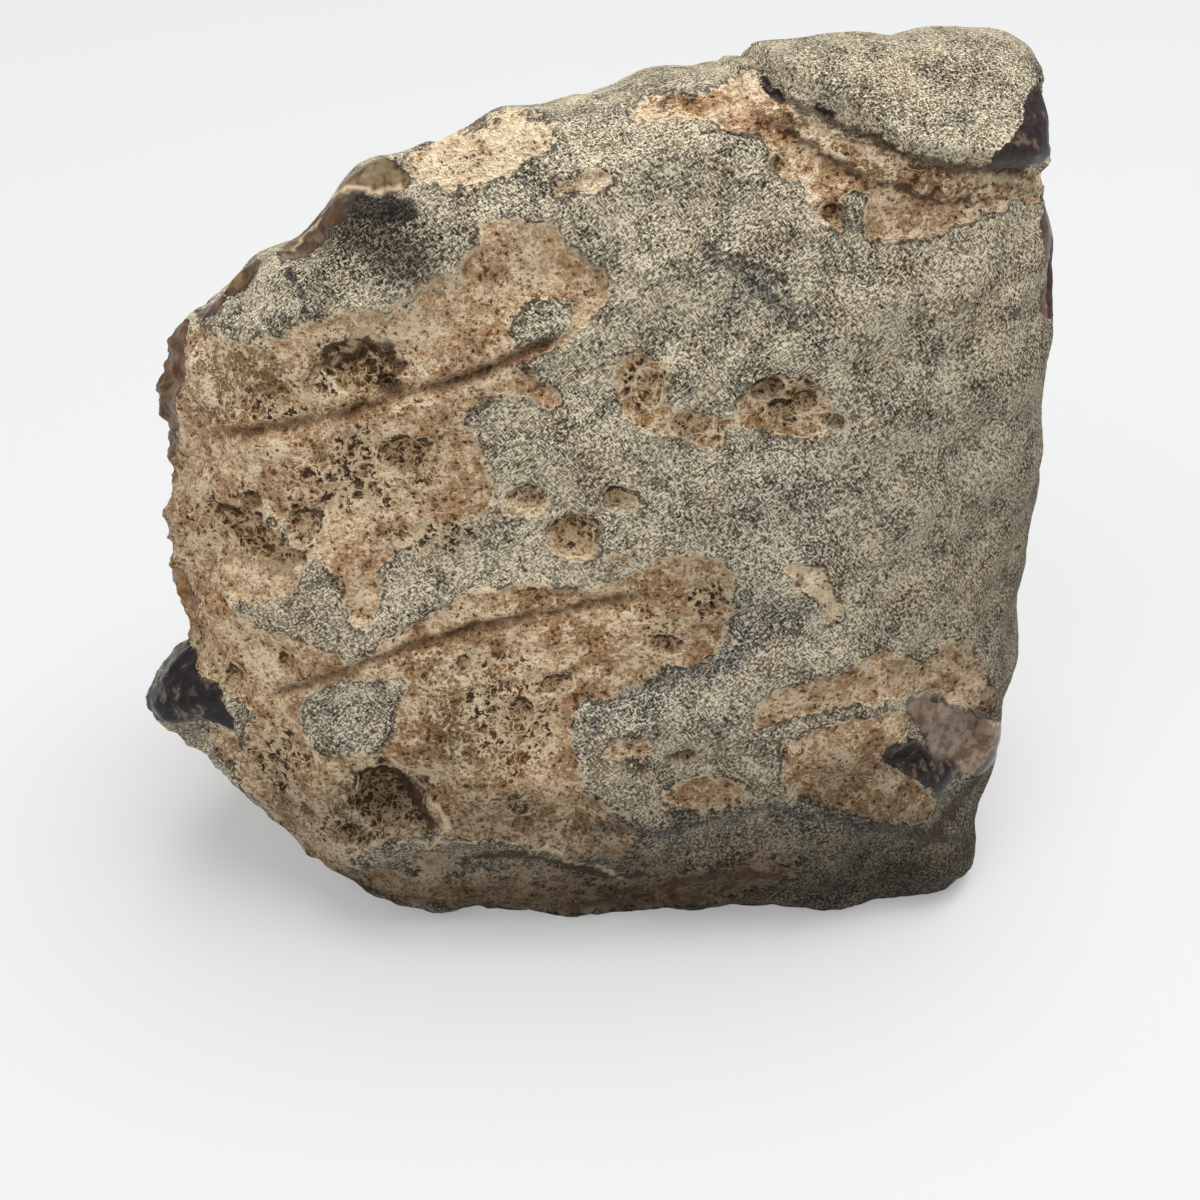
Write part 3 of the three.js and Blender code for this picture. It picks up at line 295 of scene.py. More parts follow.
        ("blueGrey", 3.9, 3.4, 4, 1.4, 0, 0.6), ("blueGrey", 14, 30, 9, 6, 60, 0.5),
        ("blueGrey", 13, 24, 5, 6, 0, 0.35), ("blueGrey", 12, 20.4, 4, 1.6, 30, 0.8),
        ("blueGrey", 16, 4.6, 12, 1.4, -6, 0.6), ("inky", 16.2, 43.2, 2, 0.5, -30, 0.9),
        ("rust", 17.9, 44.7, 0.8, 0.5, 0, 0.8), ("umber", -14.6, 49.6, 5, 3.2, -20, 0.9),
        ("plum", -14.8, 51.6, 2.6, 1.6, 0, 0.95), ("plum", -16, 49.8, 2.4, 1.4, 30, 0.5),
        # the cream along the top is a paler tone, partly painted light on the upward-facing top
        ("cream", 0, 64, 12, 4.5, 18, 0.7), ("cream", 20, 66, 16, 3.5, 5, 0.5),
        ("cream", -8, 58, 6, 4, 25, 0.5), ("warm", 21, 61, 3.6, 2, 0, 0.6), ("warm", 26, 48, 8, 4, 0, 0.35),
        ("warm", 30, 25, 5, 3, 0, 0.5), ("warm", -24, 23, 5, 4, 0, 0.5), ("rust", 11.7, -0.6, 3, 1.8, 0, 0.7),
        # the umber bands along the foot and at the lower right are partly painted shade
        ("umber", 20, -4.5, 24, 3, 0, 0.8), ("umber", 34, 2, 3.4, 7, 0, 0.8),
        ("umber", -8, -5, 24, 2.2, 0, 0.8), ("inky", -20.5, 46.6, 0.4, 1.6, 12, 0.8),
        ("greenGrey", 24, 38, 8, 8, 0, 0.3), ("greenGrey", 4, 34, 6, 5, 0, 0.4),
    ],
    "finishes": {
        "rind": (160, 148, 124), "blueGrey": (92, 97, 100), "greenGrey": (138, 138, 122),
        "warm": (164, 138, 106), "cream": (200, 182, 150), "umber": (58, 46, 36), "inky": (40, 40, 46),
        "rust": (130, 88, 52), "tan": (194, 159, 120), "brown": (182, 147, 107), "khaki": (146, 118, 80),
        "ochre": (168, 134, 90), "pale": (208, 186, 154), "orange": (164, 122, 76), "olive": (118, 98, 66),
        "plum": (30, 23, 24), "smoke": (48, 37, 35), "redBrown": (84, 52, 40), "mauve": (138, 118, 100),
        "drab": (92, 72, 50), "black": (36, 27, 24), "amber": (104, 78, 50), "honey": (150, 110, 68),
        "bark": (66, 46, 31), "golden": (138, 106, 66), "rose": (186, 150, 114), "bone": (250, 230, 196),
    },
    # roughness of the surface: size, octaves, shift
    "grades": [(3.2, 3), (1.5, 3, 31.7), (0.8, 2, 77.1)],
    "edgeReach": 2.5,  # outlines are felt this far from their edge
    "workHeight": 4,  # pits and breaks leave alone what stands further out than this
    # bearings between which the rim is chipped, how far back the rind then ends, and the chips' width
    "rimChip": {"starts": (106, 120), "ends": (184, 196), "depth": 17.4, "width": 2.6},
    "scatteredPits": {"spacing": 1.5, "radius": 0.34, "depth": 0.4},
    "footShade": (0.7, 1.6),  # share of light lost at the foot, and the height over which it fades
}

turn = math.radians(stone["sightTilt"])
heart = np.array(stone["heart"], float)
centring = np.array(stone["centring"])
sideReaches = np.array([reach for bearing, forward, reach in stone["sides"]])
sideNormals = np.array([
    (math.cos(math.radians(forward)) * math.cos(math.radians(bearing)), -math.sin(math.radians(forward)),
     math.cos(math.radians(forward)) * math.sin(math.radians(bearing)))
    for bearing, forward, reach in stone["sides"]
])


def linear(colour):  # 0 to 255 as the shader wants it
    value = np.array(colour) / 255
    return np.where(value < 0.04045, value / 12.92, ((value + 0.055) / 1.055) ** 2.4)


def tintOf(finish):
    return linear(stone["finishes"][finish])


def everywhere(finish):  # one tint on every point
    return np.tile(tintOf(finish), (len(points), 1))


def over(tint, finish, weight):  # lays a finish over a tint
    weight = weight[:, None]
    return tint * (1 - weight) + tintOf(finish) * weight


def ease(value, low, high):
    t = np.clip((value - low) / (high - low), 0, 1)
    return t * t * (3 - 2 * t)


def pairs(flat):  # u, v, u, v ... as rows
    return np.array(flat, float).reshape(-1, 2)


def formAt(directions):  # distance from the heart to the rounded form, and the outward normal there
    share = np.clip(directions @ sideNormals.T, 0, None) / sideReaches
    radius = (share ** stone["blend"]).sum(1) ** (-1 / stone["blend"])
    normals = (share ** (stone["blend"] - 1) / sideReaches) @ sideNormals
    return radius, normals / np.linalg.norm(normals, axis=1, keepdims=True)


def frontView(points):
    return points[:, 0], points[:, 1] * math.sin(turn) + points[:, 2] * math.cos(turn)


def reliefAt(points):
    u, v = frontView(points)
    height = np.zeros(len(points))
    for su, sv, wide, tall, high in stone["swells"]:
        height += high * np.exp(-(((u - su) / wide) ** 2) - ((v - sv) / tall) ** 2)
    kept = 1 - ease(v, *stone["stepsFade"])
    for high, width, dropShare, line in stone["steps"]:
        rise = v - np.interp(u, line[::2], line[1::2])
        height += kept * high * (ease(rise, -width / 2, width / 2) - dropShare)
    height *= 1 - ease(points[:, 1], *stone["reliefDepths"])
    for x, y, z, start, high in stone["waves"]:
        height += high * np.sin(points @ np.array((x, y, z)) + start)
    return height


def rindUnder(u, v):  # point and normal of the rind under a place on the front view
    def at(y):
        return np.array([(u, y, (v - y * math.sin(turn)) / math.cos(turn))])

    def outside(y):
        arm = at(y) - heart
        length = np.linalg.norm(arm)
        return length > formAt(arm / length)[0][0]

    stride = 0.25
    near = -40.0
    while outside(near + stride) and near < stone["cutFaceY"]:
        near += stride
    far = near + stride
    for i in range(16):
        middle = (near + far) / 2
        if outside(middle):
            near = middle
        else:
            far = middle
    base = at(far)
    arm = base - heart
    normal = formAt(arm / np.linalg.norm(arm))[1]
    return (base + normal * reliefAt(base)[:, None])[0], normal[0]


def rough(points, size, octaves, shift=0):  # fractal noise, about -1 to 1
    scaled = points / size + shift
    return np.array([noise.fractal(Vector(p), 0.9, 2.1, octaves) for p in scaled])


def cells(points, size):  # nearest and second nearest distance in a cell pattern, in cells
    found = [noise.voronoi(Vector(p))[0][:2] for p in points / size]
    return np.array(found).T


def rounded(outline):  # cuts the corners of a closed outline twice
    corners = pairs(outline)
    for i in range(2):
        after = np.roll(corners, -1, 0)
        corners = np.stack([0.75 * corners + 0.25 * after, 0.25 * corners + 0.75 * after], 1).reshape(-1, 2)
    return corners


def inside(u, v, outline):  # millimetres inside an outline, negative outside it
    reach = stone["edgeReach"]
    corners = rounded(outline)
    low, high = corners.min(0) - reach, corners.max(0) + reach
    result = np.full(len(u), -reach)
    near = np.nonzero((u > low[0]) & (u < high[0]) & (v > low[1]) & (v < high[1]))[0]
    p = np.stack([u[near], v[near]], 1)
    best = np.full(len(near), 1e9)
    odd = np.zeros(len(near), bool)
    for a, b in zip(corners, np.roll(corners, -1, 0)):
        edge = b - a
        t = np.clip(((p - a) @ edge) / max(edge @ edge, 1e-9), 0, 1)
        best = np.minimum(best, np.linalg.norm(p - a - t[:, None] * edge, axis=1))
        crosses = (a[1] > p[:, 1]) != (b[1] > p[:, 1])
        with np.errstate(all="ignore"):
            at = a[0] + (p[:, 1] - a[1]) * edge[0] / edge[1]
        odd ^= crosses & (p[:, 0] < at)
    result[near] = np.clip(np.where(odd, best, -best), -reach, reach)
    return result


def alongPath(u, v, path):  # distance to an open path, and how far along it, 0 to 1
    best = np.full(len(u), 1e9)
    share = np.zeros(len(u))
    p = np.stack([u, v], 1)
    corners = pairs(path)
    for i, (a, b) in enumerate(zip(corners, corners[1:])):
        edge = b - a
        t = np.clip(((p - a) @ edge) / (edge @ edge), 0, 1)
        away = np.linalg.norm(p - a - t[:, None] * edge, axis=1)
        closer = away < best
        best[closer] = away[closer]
        share[closer] = ((i + t) / (len(corners) - 1))[closer]
    return best, share


def leaned(first, second, degrees):  # turns two directions in the plane that they span
    c, s = math.cos(math.radians(degrees)), math.sin(math.radians(degrees))
    return first * c - second * s, second * c + first * s


def standing(u, v, angle):  # centre and right, along and outward directions of a place on the rind
    centre, outward = rindUnder(u, v)
    right = np.cross((0, 0, 1), outward)
    right /= np.linalg.norm(right)
    along, right = leaned(np.cross(outward, right), right, angle)
    return centre, right, along, outward


def seenFrom(centre, *directions):  # every point's place, measured from a centre along directions
    return [(points - centre) @ direction for direction in directions]


def raiseBy(height):  # moves every point along its normal
    points[:] = points + normals * height[:, None]


# The stone's shape
print("stone: ball")
ball = bmesh.new()
cuts = stone["ballCuts"]
bmesh.ops.create_icosphere(ball, subdivisions=cuts, radius=1)
ball.verts.ensure_lookup_table()
directions = np.array([v.co for v in ball.verts])
wide, front, behind = stone["ball"]
directions[:, 1] *= np.where(directions[:, 1] < 0, front, behind) / wide
directions /= np.linalg.norm(directions, axis=1, keepdims=True)
radius, normals = formAt(directions)
base = heart + directions * radius[:, None]
points = base + normals * reliefAt(base)[:, None]

print("stone: relief")
coarse, medium, fine = [rough(points, *grade) for grade in stone["grades"]]
facing = 1 - ease(base[:, 1], *stone["frontDepths"])


def spot(u, v, su, sv, wide, tall, angle):  # soft round or oval weight
    c, s = math.cos(math.radians(angle)), math.sin(math.radians(angle))
    across = ((u - su) * c + (v - sv) * s) / wide
    up = ((v - sv) * c - (u - su) * s) / tall
    return np.exp(-(across ** 2) - up ** 2) * facing


def ragged(u, v):  # places moved a little, so that outlines come out ragged
    return u + 0.5 * coarse + 0.35 * fine, v + 0.45 * medium - 0.3 * coarse


def layerEdge(u, v):  # millimetres inside the flaked tan layer, and that layer's tint
    ragU, ragV = ragged(u, v)
    edge = np.full(len(u), -stone["edgeReach"])
    tint = everywhere("tan")
    for finish, outline in stone["patches"]:
        here = inside(ragU, ragV, outline)
        edge = np.maximum(edge, here)
        tint = over(tint, finish, ease(here, -0.6, 0.8))
    for outline in stone["windows"]:
        edge = np.minimum(edge, -inside(ragU, ragV, outline))
    for *place, level, strength in stone["blends"]:
        weight = strength * spot(u, v, *place)
        edge = edge * (1 - weight) + level * weight
    backEdge = 11 + 3.5 * coarse + medium + 1.5 * np.sin(0.3 * v)  # the layer ends short of the cut face
    return np.minimum(edge, backEdge - base[:, 1]), tint


u, v = frontView(points)
ragU, ragV = ragged(u, v)
tanEdge = layerEdge(u, v)[0]
isTan = ease(tanEdge, -0.2, 0.4)

# the upper left rim, next to the cut face, is chipped down to the agate
bearing = np.degrees(np.arctan2(base[:, 2] - heart[2], base[:, 0] - heart[0])) % 360
rim = stone["rimChip"]
chipped = ease(bearing, *rim["starts"]) * (1 - ease(bearing, *rim["ends"]))
rimEdge = base[:, 1] - rim["depth"] + (rim["width"] + 1.5 * coarse + 0.8 * medium) * chipped
rimEdge = np.where(chipped > 0.02, rimEdge, -stone["edgeReach"])
rimEdge = np.clip(rimEdge, -stone["edgeReach"], stone["edgeReach"])
leftRim = (ease(-u, 26, 34) + 0.25 * ease(-v, -1, 4)) * facing

lift = 0.09 * coarse + 0.06 * medium + 0.04 * fine
lift += isTan * (0.12 * coarse + 0.14 * medium + 0.06 * fine)
lift += leftRim * (0.5 * coarse + 0.3 * medium)
lift -= ease(rimEdge, -0.1, 0.5) * (0.45 + 0.5 * coarse + 0.25 * medium)
lift -= 0.2 * ease(tanEdge, -0.1, 0.35) * facing  # the tan layer lies lower than the rind
lift += 0.12 * np.exp(-((tanEdge + 0.12) / 0.22) ** 2) * facing  # and the rind's edge curls up beside it
raiseBy(lift)

# small scattered pits, mostly in the tan layer
scatter = stone["scatteredPits"]
nearest = cells(points + 0.3 * np.stack([medium, fine, coarse], 1), scatter["spacing"])[0]
scattered = ease(scatter["radius"] - nearest, 0, 0.16) * ease(coarse + 0.5 * medium, -0.1, 0.3)
scattered *= (0.15 + 0.85 * isTan) * facing
hole = scatter["depth"] * scattered
raiseBy(-hole)

sponge = 0.3 * isTan * ease(coarse, -0.2, 0.5)
for su, sv, wide, tall, size, depth in stone["sponges"]:
    away = np.sqrt(((ragU - su) / wide) ** 2 + ((ragV - sv) / tall) ** 2) + 0.3 * medium
    weight = (1 - ease(away, 0.5, 1.15)) * facing
    near = np.nonzero(weight > 0.01)[0]
    bend = 0.4 * size * np.stack([coarse, medium, fine], 1)[near]
    first, second = cells(points[near] + bend, size)
    bowl = ease(second - first, 0.02, 0.5) * (0.4 + 0.6 * ease(medium[near] + 0.6 * fine[near], -0.4, 0.5))
    points[near] -= normals[near] * (depth * weight[near] * bowl)[:, None]
    hole[near] = np.maximum(hole[near], weight[near] * bowl * min(1, depth / 0.7))
    sponge = np.maximum(sponge, weight * min(1, 0.25 + depth / 0.9))

pitEdge = np.full(len(points), stone["edgeReach"])
sunk = np.zeros(len(points))
# painted shading in the pits: a painted shadow under each pit's upper edge, and a painted highlight on its
# lower wall
eaves = np.zeros(len(points))  # 1 under the upper edge of a pit, -1 on its lower wall
above = stone["workHeight"]
for place in stone["pits"] + stone["chips"]:
    pu, pv, wide, tall, angle, depth, ragShare = place
    centre, right, along, outward = standing(pu, pv, angle)
    x, y, z = seenFrom(centre, right, along, outward)
    away = np.sqrt((x / (wide / 2)) ** 2 + (y / (tall / 2)) ** 2) * (1 + ragShare * (medium + 0.6 * coarse))
    floor = -depth * np.sqrt(np.clip(1 - away ** 2, 0, 1)) * (1 + 0.5 * ragShare * (medium + fine))
    lower = (away < 1) & (z > floor) & (z < above)
    points[lower] += outward * (floor - z)[lower, None]
    if place in stone["chips"]:
        continue
    small = min(wide, tall)
    sunk[lower] = np.maximum(sunk[lower], -floor[lower])
    here = np.abs(z) < above
    pitEdge[here] = np.minimum(pitEdge[here], ((away - 1) * small / 2)[here])
    # a band inside each pit's wall, signed by its upper or lower side, carries that painted shadow and painted
    # highlight
    inner = 1 - min(0.75, 1.6 / small)
    wall = ease(away, inner, inner + 0.3) * (1 - ease(away, 0.95, 1.1)) * ease(depth, 0.3, 1.3) * here
    up = (x * math.sin(math.radians(angle)) + y * math.cos(math.radians(angle))) / (0.4 * small)
    eaves += wall * np.clip(up, -1, 1)

for bu, bv, wide, tall, angle, leanRight, leanUp, depth in stone["breaks"]:
    centre, right, along, outward = standing(bu, bv, angle)
    along, outward = leaned(along, outward, leanUp)
    right, outward = leaned(right, outward, leanRight)
    x, y, z = seenFrom(centre, right, along, outward)
    lower = (np.abs(x) < wide / 2 + 0.3 * medium) & (np.abs(y) < tall / 2 + 0.3 * medium)
    lower &= (z > -depth) & (z < above)
    points[lower] += outward * (0.05 * coarse - depth - z)[lower, None]

groove = np.zeros(len(points))
for width, depth, path in stone["grooves"]:
    away, share = alongPath(u, v, path)
    strength = ease(share, 0, 0.08) * ease(1 - share, 0, 0.25) * facing * (0.75 + 0.4 * coarse)
    away = away + 0.15 * medium + 0.08 * fine
    raiseBy(-0.55 * depth * strength * np.clip(1 - away / (width / 2), 0, 1))  # a wide valley
    raiseBy(-0.5 * depth * strength * (1 - ease(away, 0, 0.35)))  # with a narrow cut in it
    raiseBy(0.14 * strength * np.exp(-((away - width / 2 - 0.1) / 0.25) ** 2))  # and raised lips
    colouring = 0.45 * (1 - ease(away, 0.2, width * 0.6)) + 0.55 * (1 - ease(away, 0, 0.4))
    groove = np.maximum(groove, strength * colouring)

for width, depth, path in stone["cracks"]:
    away, share = alongPath(u + 0.2 * medium, v + 0.2 * fine, path)
    raiseBy(-depth * (1 - ease(away, 0, width / 2 + 0.3)) * facing)

# Surface values that the finish reads, kept on every point
u, v = frontView(points)
ragU, ragV = ragged(u, v)
tanEdge, tanTint = layerEdge(u, v)

chipEdge = rimEdge.copy()
chipTint = everywhere("smoke")
for finish, low, high in (("amber", -0.1, 0.3), ("bark", 0.25, 0.6)):
    chipTint = over(chipTint, finish, 0.8 * ease(coarse + 0.7 * medium, low, high))
for finish, outline in stone["glossy"]:
    edge = inside(u + 0.25 * medium, v + 0.25 * fine, outline)
    corners = pairs(outline)
    inner = corners[np.argmin(np.linalg.norm(corners - (0, 30), axis=1))]
    reach = 2.5 + 0.4 * (corners.max(0) - corners.min(0)).max() + coarse + 0.6 * medium
    edge = np.minimum(edge, reach - abs(base[:, 1] - rindUnder(*inner)[0][1]))
    chipEdge = np.maximum(chipEdge, edge)
    chipTint = over(chipTint, finish, ease(edge, -0.2, 0.2))

rindTint = everywhere("rind")
for finish, *place, strength in stone["stains"]:
    rindTint = over(rindTint, finish, strength * spot(ragU, ragV, *place))

crackEdge = np.ones(len(points))
for width, depth, path in stone["cracks"]:
    away = alongPath(u, v, path)[0]
    crackEdge = np.minimum(crackEdge, np.clip(away - width / 2, -1, 1) + (1 - facing))
paint = everywhere("bark")
painted = np.zeros(len(points))
for finish, width, strength, path in stone["lines"]:
    away = alongPath(ragU, ragV, path)[0]
    weight = strength * (1 - ease(away, 0.15 * width, 0.6 * width)) * facing
    paint = np.where((weight > painted)[:, None], tintOf(finish), paint)
    painted = np.maximum(painted, weight)

shade = np.ones(len(points))
for *place, lost in stone["shades"]:
    shade *= 1 - lost * spot(u, v, *place)

points += centring
lost, fadeHeight = stone["footShade"]
shade *= 1 - lost * (1 - ease(points[:, 2] + 0.5 * coarse, 0, fadeHeight)) * facing
for vert, point in zip(ball.verts, points):
    vert.co = Vector(point) * mm

values = {
    "tanEdge": tanEdge, "chipEdge": chipEdge, "pitEdge": pitEdge, "sunk": sunk, "hole": hole,
    "eaves": np.clip(eaves, -1, 1), "sponge": sponge, "groove": groove, "crackEdge": crackEdge,
    "painted": painted, "shade": shade,
}
tints = {"tanTint": tanTint, "chipTint": chipTint, "rindTint": rindTint, "paint": paint}
for name, numbers in values.items():
    layer = ball.verts.layers.float.new(name)
    for vert, number in zip(ball.verts, numbers):
        vert[layer] = float(number)
for name, colours in tints.items():
    layer = ball.verts.layers.float_color.new(name)
    for vert, colour in zip(ball.verts, colours):
        vert[layer] = (*map(float, colour), 1)

print("stone: cut face and foot")
cutY = (stone["cutFaceY"] + centring[1]) * mm
for place, facingOut in (((0, cutY, 0), (0, 1, 0)), ((0, 0, 0), (0, 0, -1))):
    every = ball.verts[:] + ball.edges[:] + ball.faces[:]
    bmesh.ops.bisect_plane(ball, geom=every, dist=1e-7, plane_co=place, plane_no=facingOut, clear_outer=True)
    border = [e for e in ball.edges if e.is_boundary]
    caps = bmesh.ops.holes_fill(ball, edges=border, sides=0)["faces"]
    for edge in border:
        edge.smooth = False
    for face in caps:
        face.material_index = 1 if facingOut[1] else 0
bmesh.ops.recalc_face_normals(ball, faces=ball.faces)
bmesh.ops.triangulate(ball, faces=[f for f in ball.faces if len(f.verts) > 8])
for face in ball.faces:
    face.smooth = True

mesh = bpy.data.meshes.new("agateStone")
ball.to_mesh(mesh)
ball.free()
agateStone = bpy.data.objects.new("agateStone", mesh)
bpy.context.scene.collection.objects.link(agateStone)
print("stone:", len(mesh.polygons), "faces")


class Wire:  # one socket, so that shader maths reads as Python
    def __init__(self, shader, socket):
        self.shader = shader
        self.socket = socket

    def maths(self, operation, *values):
        return self.shader.node("ShaderNodeMath", {"operation": operation}, dict(enumerate(values)))

    def __add__(self, other):
        return self.maths("ADD", self, other)

    def __sub__(self, other):
        return self.maths("SUBTRACT", self, other)

    def __rsub__(self, other):
        return self.maths("SUBTRACT", other, self)

    def __mul__(self, other):
        return self.maths("MULTIPLY", self, other)

    def __abs__(self):
        return self.maths("ABSOLUTE", self)

    def larger(self, other):
        return self.maths("MAXIMUM", self, other)

    def ramp(self, low, high):  # 0 below low, 1 above high, eased between
        return self.shader.node("ShaderNodeMapRange", {"interpolation_type": "SMOOTHSTEP"},
                                {0: self, 1: low, 2: high, 3: 0, 4: 1})


class Shader:  # a material and its node tree
    def __init__(self, name):
        self.material = bpy.data.materials.new(name)
        self.material.use_nodes = True
        self.tree = self.material.node_tree
        self.tree.nodes.clear()

    def node(self, kind, settings=None, sockets=None, output=0):
        made = self.tree.nodes.new(kind)
        for key, value in (settings or {}).items():
            if key == "stops":
                self.fillRamp(made.color_ramp, value)
            else:
                setattr(made, key, value)
        for key, value in (sockets or {}).items():
            if isinstance(value, Wire):
                self.tree.links.new(value.socket, made.inputs[key])
            else:
                made.inputs[key].default_value = value
        return Wire(self, made.outputs[output]) if made.outputs else made

    def fillRamp(self, ramp, stops):
        while len(ramp.elements) < len(stops):
            ramp.elements.new(1)
        for element, (place, colour) in zip(ramp.elements, stops):
            element.position = place
            element.color = colour

    def mix(self, factor, a, b, blend="MIX"):  # colours
        settings = {"data_type": "RGBA", "blend_type": blend}
        return self.node("ShaderNodeMix", settings, {0: factor, 6: a, 7: b}, 2)

    def times(self, colour, shares):
        return self.mix(1, colour, (*shares, 1), "MULTIPLY")

    def vector(self, operation, *values, output=0):
        return self.node("ShaderNodeVectorMath", {"operation": operation}, dict(enumerate(values)), output)

    def millimetres(self):  # the place on the stone
        return self.node("ShaderNodeVectorMath", {"operation": "SCALE"},
                         {0: self.node("ShaderNodeTexCoord", output=3), 3: 1 / mm})

    def value(self, name):
        return self.node("ShaderNodeAttribute", {"attribute_name": name}, output=2)

    def tint(self, name):
        return self.node("ShaderNodeAttribute", {"attribute_name": name})

    def noise(self, place, size, detail=2, roughness=0.5, output=0):
        sockets = {"Vector": place, "Scale": 1 / size, "Detail": detail, "Roughness": roughness}
        return self.node("ShaderNodeTexNoise", {}, sockets, output)

    def streaks(self, place, angle, across, along):
        turned = self.node("ShaderNodeMapping", {"vector_type": "TEXTURE"}, {
            "Vector": place, "Rotation": (0, math.radians(angle), 0), "Scale": (across, across, along)})
        return self.noise(turned, 1, 1)

    def finish(self, surface):
        self.node("ShaderNodeOutputMaterial", {}, {"Surface": surface})
        return self.material


def rgba(*colour):  # 0 to 255 as a shader colour
    return (*map(float, linear(colour)), 1)


# grain sizes in millimetres, colours 0 to 255, shares of a colour 0 to 1
look = {
    "patchy": 2.4, "rag": 0.6, "grainy": 0.24, "broad": 3.4, "mottle": 1.3, "crumb": 0.36, "wander": 1.5,
    "pock": 1.1, "cellsPerMm": 0.95, "cellBend": (1.7, 1.7, 1.7), "cellBendGrain": 1 / 1.2,
    "streakWidth": 0.115,
    "streaks": [(50, 0.44), (-35, 0.38)],  # angle, length
    "bumpDistance": 0.0002,  # metres
    "rindGrey": (88, 90, 88), "rindWarm": (150, 122, 88), "rindPale": (255, 242, 212),
    "rindGaps": (0.2, 0.16, 0.12),
    "tanShadow": (0.72, 0.6, 0.5), "tanDark": (0.3, 0.22, 0.16), "tanPale": (246, 226, 194),
    # a painted shadow line lies under the flaked edges
    # the pale edge colour is, round the pits, a painted highlight
    "tanPits": (70, 45, 27), "ridges": (240, 218, 186), "paintedEdgeShadow": (56, 42, 30), "edge": (240, 220, 186),
    "spongeDark": (146, 114, 80), "spongePale": (184, 152, 110), "spongeWalls": (230, 206, 170),
    # painted shade for holes and deep pits, and for their darkest cores
    "paintedHoleShade": (92, 62, 37), "paintedHoleCoreShade": (44, 28, 17),
    "pitDark": (84, 58, 34), "pitPale": (162, 126, 86), "pitBlotches": (62, 42, 25),
    # painted highlight for the lower walls of pits, and painted shadow under their upper edges
    "pitWalls": (222, 194, 152), "paintedPitHighlight": (226, 198, 158), "eaves": (58, 37, 22),
    "grooveSides": (122, 90, 60), "grooveFloor": (66, 42, 26), "cracks": (38, 25, 17),
    # the chips' pale colour is a painted sheen
    "shade": (0.1, 0.088, 0.075), "chipDark": (0.36, 0.32, 0.3), "paintedChipSheen": (200, 172, 146),
}


